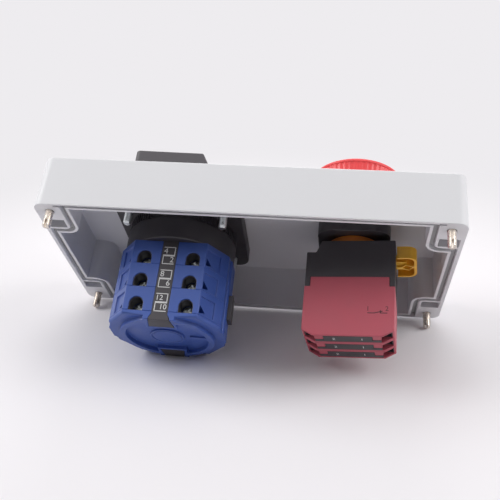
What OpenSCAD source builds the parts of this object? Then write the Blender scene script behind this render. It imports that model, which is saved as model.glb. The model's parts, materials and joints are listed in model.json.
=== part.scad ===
// Control box lid that carries a rotary reversing switch and an emergency stop.
// Each piece is drawn in the lid's own frame: X along the lid, Z out of its face, zero at
// the rim. stand() then leans the whole part onto the floor: it rests on the edge of the
// reversing switch's end cap and on the tips of the two far lid screws.

/* [Lid] */
// Length of the lid
lid_l = 200; // [190:1:220]
// Width of the lid
lid_w = 104; // [101:1:112]
// Height of the lid, from its rim to its face
lid_h = 27; // [26:0.25:30]
// Radius of the lid's corners
lid_corner_r = 5; // [4:0.5:8]
// How far each side wall leans in between the rim and the face
lid_draft = 0.3; // [0.1:0.1:0.8]
// Rounding between the side walls and the face
lid_fillet = 1; // [0.5:0.25:2]
// Thickness of the face
face_t = 3; // [2.5:0.25:3.5]
// Flat land outside the groove on the short sides
land_x = 2.1; // [1.6:0.1:2.8]
// Flat land outside the groove on the long sides
land_y = 1; // [0.8:0.1:1.4]
// Width of the gasket groove on the short sides and round the corner blocks
groove_x = 2.4; // [2:0.1:2.8]
// Width of the gasket groove on the long sides
groove_y = 1.4; // [1.1:0.1:1.7]
// Depth of the gasket groove
groove_d = 3.5; // [3:0.25:4.5]
// Thickness of the ridge on each side of the groove
ridge_t = 1.6; // [1.2:0.05:1.9]
// Radius of the cavity's own corners
cavity_r = 2; // [1:0.25:3]
// Length of each corner block along the lid
block_l = 17; // [16:0.25:18]
// Width of each corner block across the lid
block_w = 27; // [25:0.5:29]
// Rounding of each corner block's inner corner
block_r = 7; // [6:0.25:8]
// Width of the flush pad round each screw, across the lid
pad_w = 14.5; // [13:0.25:15.5]
// Depth of the pocket beside each pad
pocket_d = 12; // [8:0.5:16]
// Length of the small slot in each near pad
slot_l = 3; // [2:0.25:4]
// Width of the small slot in each near pad
slot_w = 1.1; // [0.8:0.1:1.3]
// Depth of the small slot in each near pad
slot_d = 4; // [2:0.5:6]
// Place of the small slot from the end of the lid
slot_in_x = 11.5; // [11:0.25:13]
// Place of the small slot from the near edge of the lid
slot_in_y = 1.8; // [1.6:0.1:2]

/* [Lid fasteners] */
// Height of the gasket in its groove
gasket_t = 1.6; // [1:0.1:2.5]
// Place of each lid screw from the end of the lid
screw_in_x = 7.1; // [6.6:0.1:7.8]
// Place of each lid screw from the side of the lid
screw_in_y = 6.6; // [6.2:0.1:7.2]
// Radius of the lid screw's thread
screw_r = 2; // [1.9:0.05:2.1]
// Radius of the lid screw's neck inside the lid
screw_neck_r = 1.7; // [1.5:0.05:1.8]
// Length of thread below the rim
screw_out = 8.5; // [7.5:0.25:9.5]
// Radius of the lid screw's head
screw_head_r = 3.6; // [3.4:0.1:3.9]
// Height of the lid screw's head
screw_head_h = 2.8; // [2.4:0.1:3.2]
// Depth of the recess that holds the lid screw's head
screw_recess = 8; // [6:0.5:10]

/* [Reversing switch front] */
// Distance of the switch's axis from the left end of the lid
cam_in = 62.25; // [60:0.25:64]
// Side of the square front plate and of the square behind the lid
plate_side = 64; // [62:0.5:66]
// Corner radius of the front plate
bezel_r = 4; // [3:0.5:6]
// Thickness of the seal under the front plate
seal_t = 1; // [0.8:0.1:1.4]
// Height of the front plate
bezel_h = 6; // [5.5:0.25:7]
// Width of the front plate's frame round the dial
bezel_lip = 3.3; // [2.8:0.1:4]
// Thickness of the dial
dial_t = 1; // [0.8:0.1:1.3]
// Radius of the hole in the dial and the front plate
dial_bore_r = 9; // [8:0.25:10]
// Half the spacing of the four mounting screws
bolt_half = 24; // [23.5:0.25:24.5]
// Radius of the mounting screws
bolt_r = 2; // [1.9:0.05:2.1]
// How far the mounting screws stick out behind the square plate
bolt_out = 8.8; // [8:0.2:11]
// Radius of the mounting screws' heads
bolt_head_r = 3.6; // [3.4:0.1:3.9]
// Height of the mounting screws' heads
bolt_head_h = 2.4; // [2:0.1:2.6]

/* [Knob] */
// Radius of the knob's round base
knob_r = 21; // [19:0.5:23]
// Height of the knob's round base
knob_base_h = 8; // [7:0.25:9]
// Height of the knob's top above the lid's face
knob_rise = 37.75; // [36:0.25:40]
// Half the thickness of the knob's fin
fin_half = 6; // [5.6:0.1:7]
// Reach of the fin in front of the axis
fin_front = 33.4; // [31:0.2:35]
// Reach of the fin's top behind the axis
fin_back = 4.6; // [4.4:0.1:6]
// Reach of the fin's foot behind the axis
fin_foot = 16; // [14:0.5:18]
// Radius of the knob's screw
knob_screw_r = 1.9; // [1.7:0.1:2]
// Radius of the knob's screw head
knob_head_r = 3.5; // [3.2:0.1:3.6]
// Height of the knob's screw head
knob_head_h = 2.4; // [2:0.1:2.8]
// Thickness of the cap over the knob's screw
knob_cap_t = 3; // [2:0.25:4]
// Radius of the cap over the knob's screw
knob_cap_r = 4; // [3.9:0.05:4.1]

/* [Shaft and latch] */
// Side of the square shaft
shaft_side = 7; // [6.6:0.1:7.4]
// Radius of the shaft's round bearing
shaft_r = 5; // [4.9:0.05:5.2]
// Radius of the collar on the shaft
collar_r = 7.5; // [7:0.25:8]
// Thickness of the collar on the shaft
collar_t = 1; // [0.8:0.1:1.3]
// Radius of the pin at the shaft's inner end
pin_r = 3; // [2.6:0.1:3.2]
// Length of the pin at the shaft's inner end
pin_l = 1.7; // [1.4:0.1:1.9]
// Depth of the shaft's square in the knob
shaft_in_knob = 13; // [11:0.5:14]
// Thickness of the square plate behind the lid
latch_plate_t = 7.75; // [7:0.25:8.5]
// Corner radius of the square plate behind the lid
latch_plate_r = 6; // [5:0.5:8]
// Radius of the round latch housing
latch_r = 28; // [27.8:0.1:28.5]
// Height of the round latch housing
latch_h = 17.25; // [16.75:0.25:18.25]
// Radius of the latch chamber
chamber_r = 19.5; // [19:0.25:20]
// Height of the latch chamber
chamber_h = 14.8; // [14:0.2:15]
// Radius of the star wheel
star_r = 15; // [14.5:0.1:15.4]
// Thickness of the star wheel
star_t = 8; // [7:0.25:8.5]
// Gap between the star wheel and the shaft's collar
star_gap = 1.6; // [1.4:0.1:1.8]
// Radius of each notch in the star wheel
notch_r = 2.4; // [2.2:0.1:2.6]
// Width of each latch slider
slider_w = 7; // [6:0.25:7.5]
// Length of each latch slider, from its nose's centre
slider_l = 4.5; // [4:0.25:5]
// Radius of each latch slider's nose
slider_nose_r = 1.9; // [1.7:0.1:2.1]
// Length of each latch spring
latch_spring_l = 4.5; // [4:0.25:4.8]
// Outer radius of each latch spring
latch_spring_r = 2.6; // [2.2:0.1:3]

/* [Contact stages] */
// Height of one stage
stage_h = 12.4; // [12.3:0.05:12.8]
// Half the depth of the stages, to their near and far flats
stage_half_d = 24; // [23.5:0.25:24.5]
// Half the width of the near and far flats
flat_half = 18; // [17:0.25:19]
// Half the width of the stages between their pillars
stage_half_w = 27.4; // [27.3:0.1:27.8]
// Half the depth of the straight sides
side_half = 11; // [9.5:0.25:12]
// How far each round pillar stands out from the sides
pillar_out = 1.1; // [0.8:0.1:1.4]
// Half the width of each round pillar
pillar_half = 7; // [6:0.25:8]
// Thickness of the wall between stages
web_t = 1.6; // [1.2:0.1:1.8]
// Radius of the chamber that the cam turns in
cam_room_r = 11; // [10.9:0.05:11.2]
// Radius of each cam
cam_r = 10.5; // [10.3:0.05:10.6]
// Thickness of each cam
cam_t = 9; // [8:0.25:9.5]
// Radius of each cam's hub
cam_hub_r = 6.8; // [6.4:0.1:7]
// Depth of each dip in a cam
cam_dip = 1.3; // [1:0.1:1.6]
// Half the angle of each dip in a cam
cam_dip_a = 16; // [12:1:20]
// Inner wall of the contact chambers from the axis
room_in = 9; // [8.6:0.1:9.4]
// Outer wall of the contact chambers from the axis
room_out = 23; // [22.6:0.1:23.2]
// Half the depth of the contact chambers
room_half = 14; // [13.6:0.1:14.4]
// Thickness over the contact chambers
room_top = 3; // [2.6:0.1:3.2]
// Distance of the terminal holes from the middle
hole_x = 11.9; // [11.6:0.1:12.2]
// Width of the terminal holes
hole_w = 6.9; // [6.6:0.1:7.1]
// Height of the terminal holes
hole_h = 7.05; // [6.8:0.05:7.2]
// Height of the three-cornered wire entries
wire_h = 4.6; // [4:0.2:5.6]
// Width of the three-cornered wire entries
wire_w = 4.6; // [4:0.2:5.6]
// Depth of the wire entries
wire_d = 8; // [7:0.5:9]
// Width of the shallow recess round each wire entry
recess_w = 9.5; // [8:0.25:11]
// Height of the shallow recess round each wire entry
recess_h = 8.6; // [8:0.2:9]
// Depth of the shallow recess round each wire entry
recess_d = 0.8; // [0.5:0.1:1]
// Gap between a stage's top and its recesses
recess_top = 3; // [2.6:0.1:3.2]

/* [Stage contacts] */
// Thickness of the moving and fixed contact strips
strip_t = 1; // [0.8:0.05:1.1]
// Height of the moving contact strips
bridge_h = 3.6; // [3:0.1:3.8]
// Half the length of the moving contact strips
bridge_half = 10.5; // [10:0.1:11]
// Place of the moving contact strips from the axis
bridge_x = 15; // [14.8:0.1:15.2]
// Radius of the contact tips
tip_r = 1.2; // [1:0.05:1.25]
// Height of the tips on the moving contact strips
tip_h = 0.8; // [0.6:0.05:0.9]
// Distance of the tips from the middle
tip_y = 8.3; // [7.8:0.1:8.8]
// Half the width of the cam followers
follower_half = 3; // [2.6:0.1:3.4]
// Outer radius of the contact springs
contact_spring_r = 1.7; // [1.5:0.05:1.75]
// Place of the fixed contact strips from the axis
fixed_x = 11.6; // [11.4:0.05:11.8]
// Height of the fixed contact strips
fixed_h = 2.6; // [2.2:0.1:2.8]
// Nearest the fixed contact strips come to the middle
fixed_in = 6; // [5.6:0.1:6.6]
// Width of each terminal plate
foot_w = 5.8; // [5.4:0.1:5.9]
// Radius of the terminal screws' heads
term_head_r = 2.9; // [2.6:0.05:3]
// Height of the terminal screws' heads
term_head_h = 2.4; // [2:0.1:2.8]
// Radius of the terminal screws
term_r = 1.6; // [1.4:0.05:1.7]
// Length of the terminal screws under their heads
term_l = 2.6; // [2.2:0.1:3]

/* [Stage fasteners and trim] */
// Height of the end cap with its ring
cap_h = 4.3; // [4:0.05:4.6]
// Thickness of the end cap's plate
cap_plate_t = 2.2; // [2:0.1:2.4]
// Outer radius of the end cap's ring
cap_ring_r = 23.4; // [22.6:0.1:23.4]
// Width of the end cap's ring
cap_ring_w = 3; // [2:0.25:3.5]
// Radius of the end cap's middle disc
cap_disc_r = 8.5; // [7.5:0.25:9.5]
// Height of the end cap's middle disc
cap_disc_h = 1.1; // [0.8:0.1:1.3]
// Half the width of the end cap's pads at the label strips
cap_pad_half = 7.5; // [7:0.1:8]
// Length of the end cap's pads at the label strips
cap_pad_l = 10.5; // [10:0.25:12]
// Distance of the tie bolts from the axis
tie_x = 25.3; // [25.2:0.05:25.4]
// Radius of the tie bolts
tie_r = 1.5; // [1.4:0.05:1.5]
// Radius of the tie bolts' heads
tie_head_r = 2.6; // [2.4:0.1:2.8]
// Height of the tie bolts' heads
tie_head_h = 1.8; // [1.4:0.1:2]
// Depth of the tie bolts' heads in the square plate
tie_in = 3; // [2:0.25:4]
// Width of the label strips
label_w = 7.5; // [7:0.1:8]
// Width of the label strips where they bend over the end cap
bend_w = 9.8; // [9:0.2:11]
// Width of the label strips' hooked ends
hook_w = 12.4; // [11:0.2:13]
// Thickness of the label strips
label_t = 1; // [0.8:0.05:1.1]
// Length of the hook on the end cap
hook_l = 9; // [7.5:0.25:9.5]
// Length of the label strips' flared end on the flats
flare_l = 3; // [2:0.25:3.5]
// Height of the small tab on the side
tab_h = 12.9; // [11:0.5:14]
// Half the width of the small tab
tab_half = 3.5; // [3:0.25:4.5]
// How far the small tab stands out from the pillar
tab_out = 2; // [1:0.25:2.5]
// Depth of the small tab in the pillar
tab_in = 0.8; // [0.5:0.1:0.9]
// Top of the small tab below the rim
tab_top = 18.7; // [16:0.1:20]

/* [Emergency stop front] */
// Distance of the stop's axis from the right end of the lid
stop_in = 49; // [48:0.5:50]
// Turn of the stop in its hole
stop_yaw = 6.8; // [0:0.2:8]
// Radius of the mushroom head
head_r = 24; // [22:0.25:24.5]
// Radius of the head where its side begins
head_low_r = 22.4; // [20.5:0.2:22.8]
// Height of the head's widest edge above the lid's face
head_edge = 25; // [23.5:0.25:26]
// Height of the head's side
head_side = 7; // [6:0.25:7.5]
// Height of the head's crown above its edge
head_crown = 4.6; // [4:0.2:5]
// Radius of the head's neck
neck_r = 12; // [10.5:0.25:13]
// Length of the head's neck below its side
neck_l = 4.2; // [3.8:0.1:4.4]
// Radius of the ring on the lid's face
stop_ring_r = 14.5; // [14:0.25:16]
// Height of the ring on the lid's face
stop_ring_h = 4.8; // [4:0.2:5]
// Radius of the threaded barrel
barrel_r = 10.9; // [10.6:0.05:11]
// Length of the threaded barrel below the lid's face
barrel_l = 22.25; // [21.5:0.25:22.5]
// Radius of the barrel's inner chamber
barrel_room_r = 9; // [8.9:0.05:9.2]
// Depth of the barrel's inner chamber
barrel_room_h = 15; // [14:0.25:15.5]
// Height of the ring that closes the barrel's chamber
seat_h = 3; // [2.6:0.1:3.4]

/* [Emergency stop stem] */
// Travel of the stop
press = 5.5; // [5:0.1:5.5]
// Radius of the stem
stem_r = 6.5; // [6.2:0.05:6.6]
// Radius of the stem's collar
stem_collar_r = 8.7; // [8.4:0.05:8.8]
// Thickness of the stem's collar
stem_collar_t = 2.5; // [2:0.1:2.8]
// Depth of the stem in the head
stem_in_head = 10; // [8:0.25:11]
// Half the width of the stem's foot
foot_half_x = 4.5; // [4:0.1:4.6]
// Half the length of the stem's foot
foot_half_y = 12.5; // [12:0.1:12.6]
// Thickness of the stem's foot
foot_t = 3; // [2.6:0.1:3.2]
// Gap between the stem's foot and the contact blocks when it is pressed
foot_rest = 0.5; // [0.45:0.05:0.6]
// Wall of the stop's spring
stop_spring_w = 1.6; // [1.2:0.1:1.7]
// Height of the stop's spring when it is pressed
stop_spring_h = 3.2; // [2.6:0.1:3.2]

/* [Emergency stop back] */
// Side of the fixing collar behind the lid
fix_side = 36; // [34:0.5:38]
// Turn of the fixing collar
fix_yaw = 2; // [0:0.2:8]
// Corner radius of the fixing collar
fix_r = 8; // [6:0.5:10]
// Height of the fixing collar
fix_h = 10.25; // [9.5:0.25:10.5]
// Outer radius of the locking ring
lock_r = 13.5; // [13.2:0.1:13.6]
// Depth of the locking ring in the carrier
lock_in = 7; // [6.6:0.1:7.2]
// Width of the neck between the locking ring and its lever
lock_neck_w = 8; // [6:0.5:9]
// Inner side of the lever from the stop's axis
lever_in = 22; // [21.9:0.1:22.5]
// Outer side of the lever from the stop's axis
lever_out = 31.5; // [30:0.25:33]
// Half the length of the lever
lever_half = 10.5; // [9:0.25:11]
// Height of the lever
lever_h = 6.5; // [6:0.1:6.8]
// Wall of the lever
lever_wall = 1.4; // [1.1:0.1:1.6]
// Rounding of the lever's outer corners
lever_r = 4.5; // [3.5:0.25:4.7]
// Half the width of the square socket in the lever
socket_half = 2.4; // [2:0.1:2.8]
// Turn of the locking lever
lever_turn = 30; // [20:1:30]
// Gap between the fixing collar and the carrier
carrier_gap = 3.75; // [3.6:0.05:4]
// Half the width of the carrier
carrier_half = 21.5; // [21:0.1:21.6]
// Half the depth of the carrier
carrier_half_d = 14.3; // [14.2:0.05:14.6]
// Height of the carrier over the contact blocks
carrier_h = 20; // [19.6:0.1:20.2]
// Height of the low shoulder of the carrier
shoulder_h = 13.7; // [13:0.1:14]
// Inner end of the carrier's low shoulder
shoulder_x = 17; // [16:0.25:18]
// Left end of the carrier's top
carrier_top_x = 14.2; // [14.1:0.1:15]
// Length of the carrier's legs beside the contact blocks
leg_l = 5; // [4.6:0.1:5.4]

/* [Contact blocks] */
// Thickness of one contact block
cb_t = 9.8; // [9.6:0.05:10]
// Half the width of the blocks' upper part
cb_top_half = 18.8; // [18:0.1:19]
// Half the width of the blocks
cb_half = 21.6; // [21.2:0.1:22]
// Half the width of the blocks' ends
cb_end_half = 16.3; // [15.8:0.1:17]
// Height of the blocks
cb_h = 30.3; // [30.1:0.1:31]
// Height of the slope at the blocks' ends
cb_slope = 3; // [2.5:0.1:3.5]
// Side wall of the blocks
cb_wall = 1.5; // [1.3:0.05:1.6]
// Top wall of the blocks
cb_roof = 6; // [5.5:0.1:6.5]
// Depth of the blocks' contact room below their tops
cb_room = 25; // [24.8:0.1:25.2]
// Half the length of the blocks' contact room
cb_room_half = 16.2; // [16.1:0.05:16.4]
// Half the width of the insert in the blocks' ends
insert_half = 11.4; // [10.8:0.1:11.8]
// Width of the insert's near part, which stops short of the wire openings
insert_step = 4; // [3.4:0.2:4.6]
// Half the width of the plungers
plunger_half = 2.5; // [2.2:0.1:2.8]
// Half the thickness of the plungers
plunger_half_d = 2; // [1.7:0.1:2.2]
// Half the length of the blocks' moving strips
cb_bridge_half = 11.2; // [10.9:0.1:11.6]
// Half the width of the blocks' contact strips
cb_strip_half = 2.4; // [2:0.1:2.5]
// Depth of the blocks' fixed strips below their tops
cb_fixed = 13.5; // [13.2:0.1:13.8]
// Thickness of the blocks' contact strips
cb_strip_t = 1; // [0.8:0.05:1.1]
// Distance of the blocks' contact tips from the middle
cb_tip_x = 9.6; // [9.4:0.1:9.8]
// Height of the blocks' contact tips
cb_tip_h = 0.5; // [0.4:0.05:0.6]
// Place of the blocks' terminal screws from the middle
cb_screw_x = 18.1; // [18:0.05:18.2]
// Radius of the blocks' terminal screws' heads
cb_head_r = 2.2; // [2:0.05:2.3]
// Height of the blocks' terminal screws' heads
cb_head_h = 2.2; // [1.8:0.1:2.4]
// Radius of the blocks' terminal screws
cb_screw_r = 1.4; // [1.2:0.05:1.5]
// Width of the blocks' wire openings
cb_open_w = 5; // [4.9:0.05:5.1]

/* [Clearances] */
// Running gap between pieces that move past each other
run_gap = 0.3; // [0.25:0.01:0.32]
// Radial gap of a shaft in its bearing
bearing_gap = 0.06; // [0.04:0.01:0.08]
// Gap between a piece and the seat that it is fixed in
seat_gap = 0.1; // [0.06:0.01:0.12]
// Gap round a screw in its clearance hole
screw_gap = 0.25; // [0.2:0.01:0.28]

/* [Hidden] */
$fn = 48;

// How far a cut runs past what it cuts
over = 0.5;
// Number of stages in the reversing switch, and of contact blocks on the stop
count = 3;
// Positions of the reversing switch, in degrees between one and the next
step_a = 60;
// Places of the dips in each cam, in degrees from the first follower
dip_a = [[-60, 60, 120, 240], [-60, 120], [60, 240]];

// Colours
lid_grey = [0.87, 0.87, 0.88];
gasket_grey = [0.45, 0.45, 0.46];
black = [0.12, 0.12, 0.13];
knob_grey = [0.3, 0.29, 0.3];
blue = [0.25, 0.35, 0.65];
pink = [0.7, 0.33, 0.38];
yellow = [0.88, 0.65, 0.12];
red = [0.9, 0.25, 0.26];
steel = [0.72, 0.71, 0.69];
brass_tone = [0.8, 0.62, 0.3];

// Heights in the lid's frame
face_in = lid_h - face_t;
plate_z = face_in - latch_plate_t;
stages_z = plate_z - latch_h;
cap_z = stages_z - count * stage_h;
end_z = cap_z - cap_h;
bezel_z = lid_h + seal_t;
dial_z = bezel_z + bezel_h;
knob_z = dial_z + run_gap;
knob_top = lid_h + knob_rise;

// Places of the two devices, from the middle of the lid
cam_off = lid_l / 2 - cam_in;
stop_off = lid_l / 2 - stop_in;

// The lean that puts the end cap's edge and the far screws' tips on the floor
screw_x = lid_l / 2 - screw_in_x;
screw_y = lid_w / 2 - screw_in_y;
lean = atan2(-end_z - screw_out, screw_y + screw_r - stage_half_d);
stand_lift = stage_half_d * sin(lean) - end_z * cos(lean);
stand_y = (stage_half_d * cos(lean) - end_z * sin(lean)
    - fin_half * cos(lean) - knob_top * sin(lean)) / 2;

// The lid's cavity and corner blocks
cavity_x = lid_l / 2 - land_x - groove_x - ridge_t;
cavity_y = lid_w / 2 - land_y - groove_y - ridge_t;
block_x = lid_l / 2 - block_l;
block_y = lid_w / 2 - block_w;

// Heights in the latch
chamber_z = stages_z + chamber_h;
collar_z = chamber_z - run_gap - collar_t;
star_z = collar_z - star_t - star_gap;
nose_y = star_r + run_gap + slider_nose_r;

// Sizes in a stage, measured down from its top
hole_z = stage_h - hole_h / 2;
bridge_z = room_top + (bridge_h + strip_t) / 2;
bevel_a = atan2(stage_half_d - side_half, stage_half_w - flat_half);

// Heights in the emergency stop
stop_body_z = lid_h + seal_t;
stop_bore_z = stop_body_z - seal_t - barrel_l;
room_z = stop_bore_z + barrel_room_h;
stem_collar_z = room_z - run_gap - stem_collar_t;
head_edge_z = lid_h + head_edge;
head_low_z = head_edge_z - head_side;
neck_z = head_low_z - neck_l;
fix_z = face_in - fix_h;
carrier_z = fix_z - carrier_gap;
cb_z = carrier_z - carrier_h;
foot_z = cb_z + press + foot_rest;
lock_z = carrier_z - lock_in;
plunger_z = foot_z - run_gap;
cb_bridge_z = cb_z - cb_fixed - cb_strip_t - cb_tip_h - run_gap - cb_tip_h;
cb_floor = cb_z - cb_room;

module stand() {
    translate([0, stand_y, stand_lift]) rotate([-lean, 0, 0]) children();
}

module at_cam() {
    stand() translate([-cam_off, 0, 0]) children();
}

module at_stop() {
    stand() translate([stop_off, 0, 0]) rotate([0, 0, -stop_yaw]) children();
}

module rod(r, low, high) {
    translate([0, 0, low]) cylinder(r = r, h = high - low);
}

module ring(r, bore, low, high) {
    difference() {
        rod(r, low, high);
        rod(bore, low - over, high + over);
    }
}

module slab(half_x, half_y, low, high) {
    translate([-half_x, -half_y, low]) cube([2 * half_x, 2 * half_y, high - low]);
}

module box(a, b) {
    translate(a) cube(b - a);
}

module rounded(half_x, half_y, r) {
    square([2 * (half_x - r), 2 * half_y], center = true);
    square([2 * half_x, 2 * (half_y - r)], center = true);
    for (sx = [-1, 1], sy = [-1, 1])
        translate([sx * (half_x - r), sy * (half_y - r)]) circle(r);
}

module plate(half_x, half_y, r, low, high) {
    translate([0, 0, low]) linear_extrude(high - low) rounded(half_x, half_y, r);
}

module four(dx, dy) {
    for (sx = [-1, 1], sy = [-1, 1]) translate([sx * dx, sy * dy, 0]) children();
}

module both_x() {
    for (s = [0, 1]) mirror([s, 0, 0]) children();
}

module both_y() {
    for (s = [0, 1]) mirror([0, s, 0]) children();
}

// The lid

module cavity_outline(out_x, out_y, out_block) {
    difference() {
        rounded(cavity_x + out_x, cavity_y + out_y, cavity_r + out_y);
        for (sx = [-1, 1], sy = [-1, 1])
            scale([sx, sy]) block_outline(out_block);
    }
}

// What the block leaves of the cavity's corner, shrunk by inset
module block_outline(inset) {
    r = block_r - inset;
    translate([block_x + inset + r, block_y + inset + r]) circle(r);
    translate([block_x + inset + r, block_y + inset]) square([block_l, block_w]);
    translate([block_x + inset, block_y + inset + r]) square([block_l, block_w]);
}

module lid_corner(half_x, half_y, r, low, high) {
    four(half_x - r, half_y - r) rod(r, low, high);
}

module lid_outside() {
    round_r = lid_corner_r - lid_draft - lid_fillet;
    face_x = lid_l / 2 - lid_draft;
    face_y = lid_w / 2 - lid_draft;
    hull() {
        lid_corner(lid_l / 2, lid_w / 2, lid_corner_r, 0, over, $fn = 32);
        four(face_x - lid_corner_r + lid_draft, face_y - lid_corner_r + lid_draft)
            translate([0, 0, lid_h - lid_fillet])
                rotate_extrude($fn = 32) {
                    square([round_r, lid_fillet]);
                    translate([round_r, 0]) intersection() {
                        circle(lid_fillet, $fn = 20);
                        square(lid_fillet);
                    }
                }
    }
}

module cover() {
    color(lid_grey) stand() difference() {
        lid_outside();
        translate([0, 0, -over])
            linear_extrude(face_in + over) cavity_outline(0, 0, 0);
        translate([0, 0, -over]) linear_extrude(groove_d + over) groove_outline(0);
        four(0, 0) pocket();
        four(screw_x, screw_y) rod(screw_r + screw_gap, -over, lid_h + over);
        four(screw_x, screw_y)
            rod(screw_head_r + screw_gap, lid_h - screw_recess, lid_h + over);
        for (sx = [-1, 1])
            translate([sx * (lid_l / 2 - slot_in_x), slot_in_y - lid_w / 2, 0])
                slab(slot_l / 2, slot_w / 2, -over, slot_d);
        translate([-cam_off, 0, 0]) {
            rod(dial_bore_r + shaft_r / 2, 0, lid_h + over);
            four(bolt_half, bolt_half) rod(bolt_r + screw_gap, 0, lid_h + over);
        }
        translate([stop_off, 0, 0]) rod(barrel_r + screw_gap, 0, lid_h + over);
    }
}

// The groove between the two ridges, narrowed by gap on both sides
module groove_outline(gap) {
    difference() {
        cavity_outline(ridge_t + groove_x - gap, ridge_t + groove_y - gap,
            ridge_t + groove_x - gap);
        cavity_outline(ridge_t + gap, ridge_t + gap, ridge_t + gap);
    }
}

// The pocket between the outer ridge and each screw's pad
module pocket() {
    inner_x = block_x + ridge_t + groove_x + ridge_t;
    inner_y = block_y + ridge_t + groove_x + ridge_t;
    for (sx = [-1, 1], sy = [-1, 1]) scale([sx, sy, 1])
        box([inner_x, inner_y, -over], [lid_l / 2 - land_x, lid_w / 2 - pad_w, pocket_d]);
}

module cover_gasket() {
    color(gasket_grey) stand() translate([0, 0, groove_d - gasket_t])
        linear_extrude(gasket_t) groove_outline(seat_gap);
}

module cover_screws() {
    head_z = lid_h - screw_recess;
    color(steel) stand() four(screw_x, screw_y) difference() {
        union() {
            rod(screw_r, -screw_out, 0);
            rod(screw_neck_r, 0, head_z);
            rod(screw_head_r, head_z, head_z + screw_head_h);
        }
        slab(screw_r, screw_gap + screw_gap, head_z + screw_head_h / 2, lid_h);
        slab(screw_gap + screw_gap, screw_r, head_z + screw_head_h / 2, lid_h);
    }
}

// The reversing switch in front of the lid

module panel_seal() {
    color(gasket_grey) at_cam() difference() {
        plate(plate_side / 2 - seal_t, plate_side / 2 - seal_t, bezel_r - seal_t,
            lid_h, bezel_z);
        rod(dial_bore_r + shaft_r / 2, lid_h - over, bezel_z + over);
        four(bolt_half, bolt_half) rod(bolt_r + seat_gap, lid_h - over, bezel_z + over);
    }
}

module bezel_frame() {
    dial_half = plate_side / 2 - bezel_lip;
    color(black) at_cam() difference() {
        plate(plate_side / 2, plate_side / 2, bezel_r, bezel_z, dial_z);
        plate(dial_half, dial_half, bezel_r - bezel_lip + dial_t, dial_z - dial_t, dial_z + over);
        rod(dial_bore_r, bezel_z - over, dial_z);
        four(bolt_half, bolt_half) rod(bolt_r + screw_gap, bezel_z - over, dial_z);
        four(bolt_half, bolt_half)
            rod(bolt_head_r + screw_gap, dial_z - dial_t - bolt_head_h - seat_gap, dial_z);
    }
}

module dial_plate() {
    dial_half = plate_side / 2 - bezel_lip - seat_gap;
    color(steel) at_cam() difference() {
        plate(dial_half, dial_half, bezel_r - bezel_lip + dial_t - seat_gap,
            dial_z - dial_t, dial_z);
        rod(dial_bore_r, dial_z - dial_t - over, dial_z + over);
    }
}

module mounting_screws() {
    head_z = dial_z - dial_t - bolt_head_h - seat_gap;
    color(steel) at_cam() four(bolt_half, bolt_half) {
        rod(bolt_r, plate_z - bolt_out, head_z);
        rod(bolt_head_r, head_z, head_z + bolt_head_h);
    }
}

// The fin seen from the side, with its point to the left
module fin_side() {
    base = knob_z + knob_base_h / 2;
    polygon([
        [-fin_front, knob_z + knob_base_h / 4], [-fin_front, knob_top],
        [fin_back, knob_top], [fin_foot, knob_z + knob_base_h], [fin_foot, base],
        [-knob_r / 2, base], [-knob_r, knob_z + knob_base_h / 4]
    ]);
}

// The fin seen from the top, rounded at both ends
module fin_plan() {
    square_front = fin_front - fin_half / 2;
    translate([-square_front, -fin_half])
        square([square_front + fin_foot - fin_half, 2 * fin_half]);
    translate([-square_front, fin_half / 2 - fin_half]) circle(fin_half / 2);
    translate([-square_front, fin_half - fin_half / 2]) circle(fin_half / 2);
    translate([-fin_front, -fin_half / 2]) square([fin_half, fin_half]);
    translate([fin_foot - fin_half, 0]) circle(fin_half);
}

module knob() {
    screw_z = shaft_top() + knob_screw_r;
    side = shaft_side / 2 + seat_gap;
    color(knob_grey) at_cam() difference() {
        union() {
            rod(knob_r, knob_z, knob_z + knob_base_h * 3 / 4);
            rod(knob_r - knob_base_h / 4, knob_z, knob_z + knob_base_h);
            intersection() {
                rotate([90, 0, 0]) translate([0, 0, -fin_half])
                    linear_extrude(2 * fin_half) fin_side();
                translate([0, 0, knob_z]) linear_extrude(knob_top) fin_plan();
            }
        }
        slab(side, side, knob_z - over, shaft_top() + seat_gap);
        rod(knob_screw_r + screw_gap, knob_z, knob_top);
        rod(knob_cap_r + seat_gap, screw_z, knob_top + over);
    }
}

function shaft_top() = knob_z + shaft_in_knob;

module knob_screw() {
    screw_z = shaft_top() + knob_screw_r;
    color(steel) at_cam() {
        rod(knob_screw_r, shaft_top() - shaft_in_knob / 2, screw_z);
        difference() {
            rod(knob_head_r, screw_z, screw_z + knob_head_h);
            slab(knob_screw_r, screw_gap + screw_gap,
                screw_z + knob_head_h / 2, knob_top);
            slab(screw_gap + screw_gap, knob_screw_r,
                screw_z + knob_head_h / 2, knob_top);
        }
    }
}

module knob_cap() {
    color(knob_grey) at_cam() rod(knob_cap_r, knob_top - knob_cap_t, knob_top);
}

// The shaft and its latch

module switch_shaft() {
    half = shaft_side / 2;
    color(steel) at_cam() difference() {
        union() {
            rod(pin_r, cap_z - pin_l, cap_z + over);
            slab(half, half, cap_z + run_gap, collar_z + collar_t);
            rod(collar_r, collar_z, collar_z + collar_t);
            rod(shaft_r, collar_z, knob_z);
            slab(half, half, knob_z, shaft_top());
        }
        rod(knob_screw_r + seat_gap / 2, shaft_top() - shaft_in_knob / 2 - over,
            shaft_top() + over);
    }
}

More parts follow.
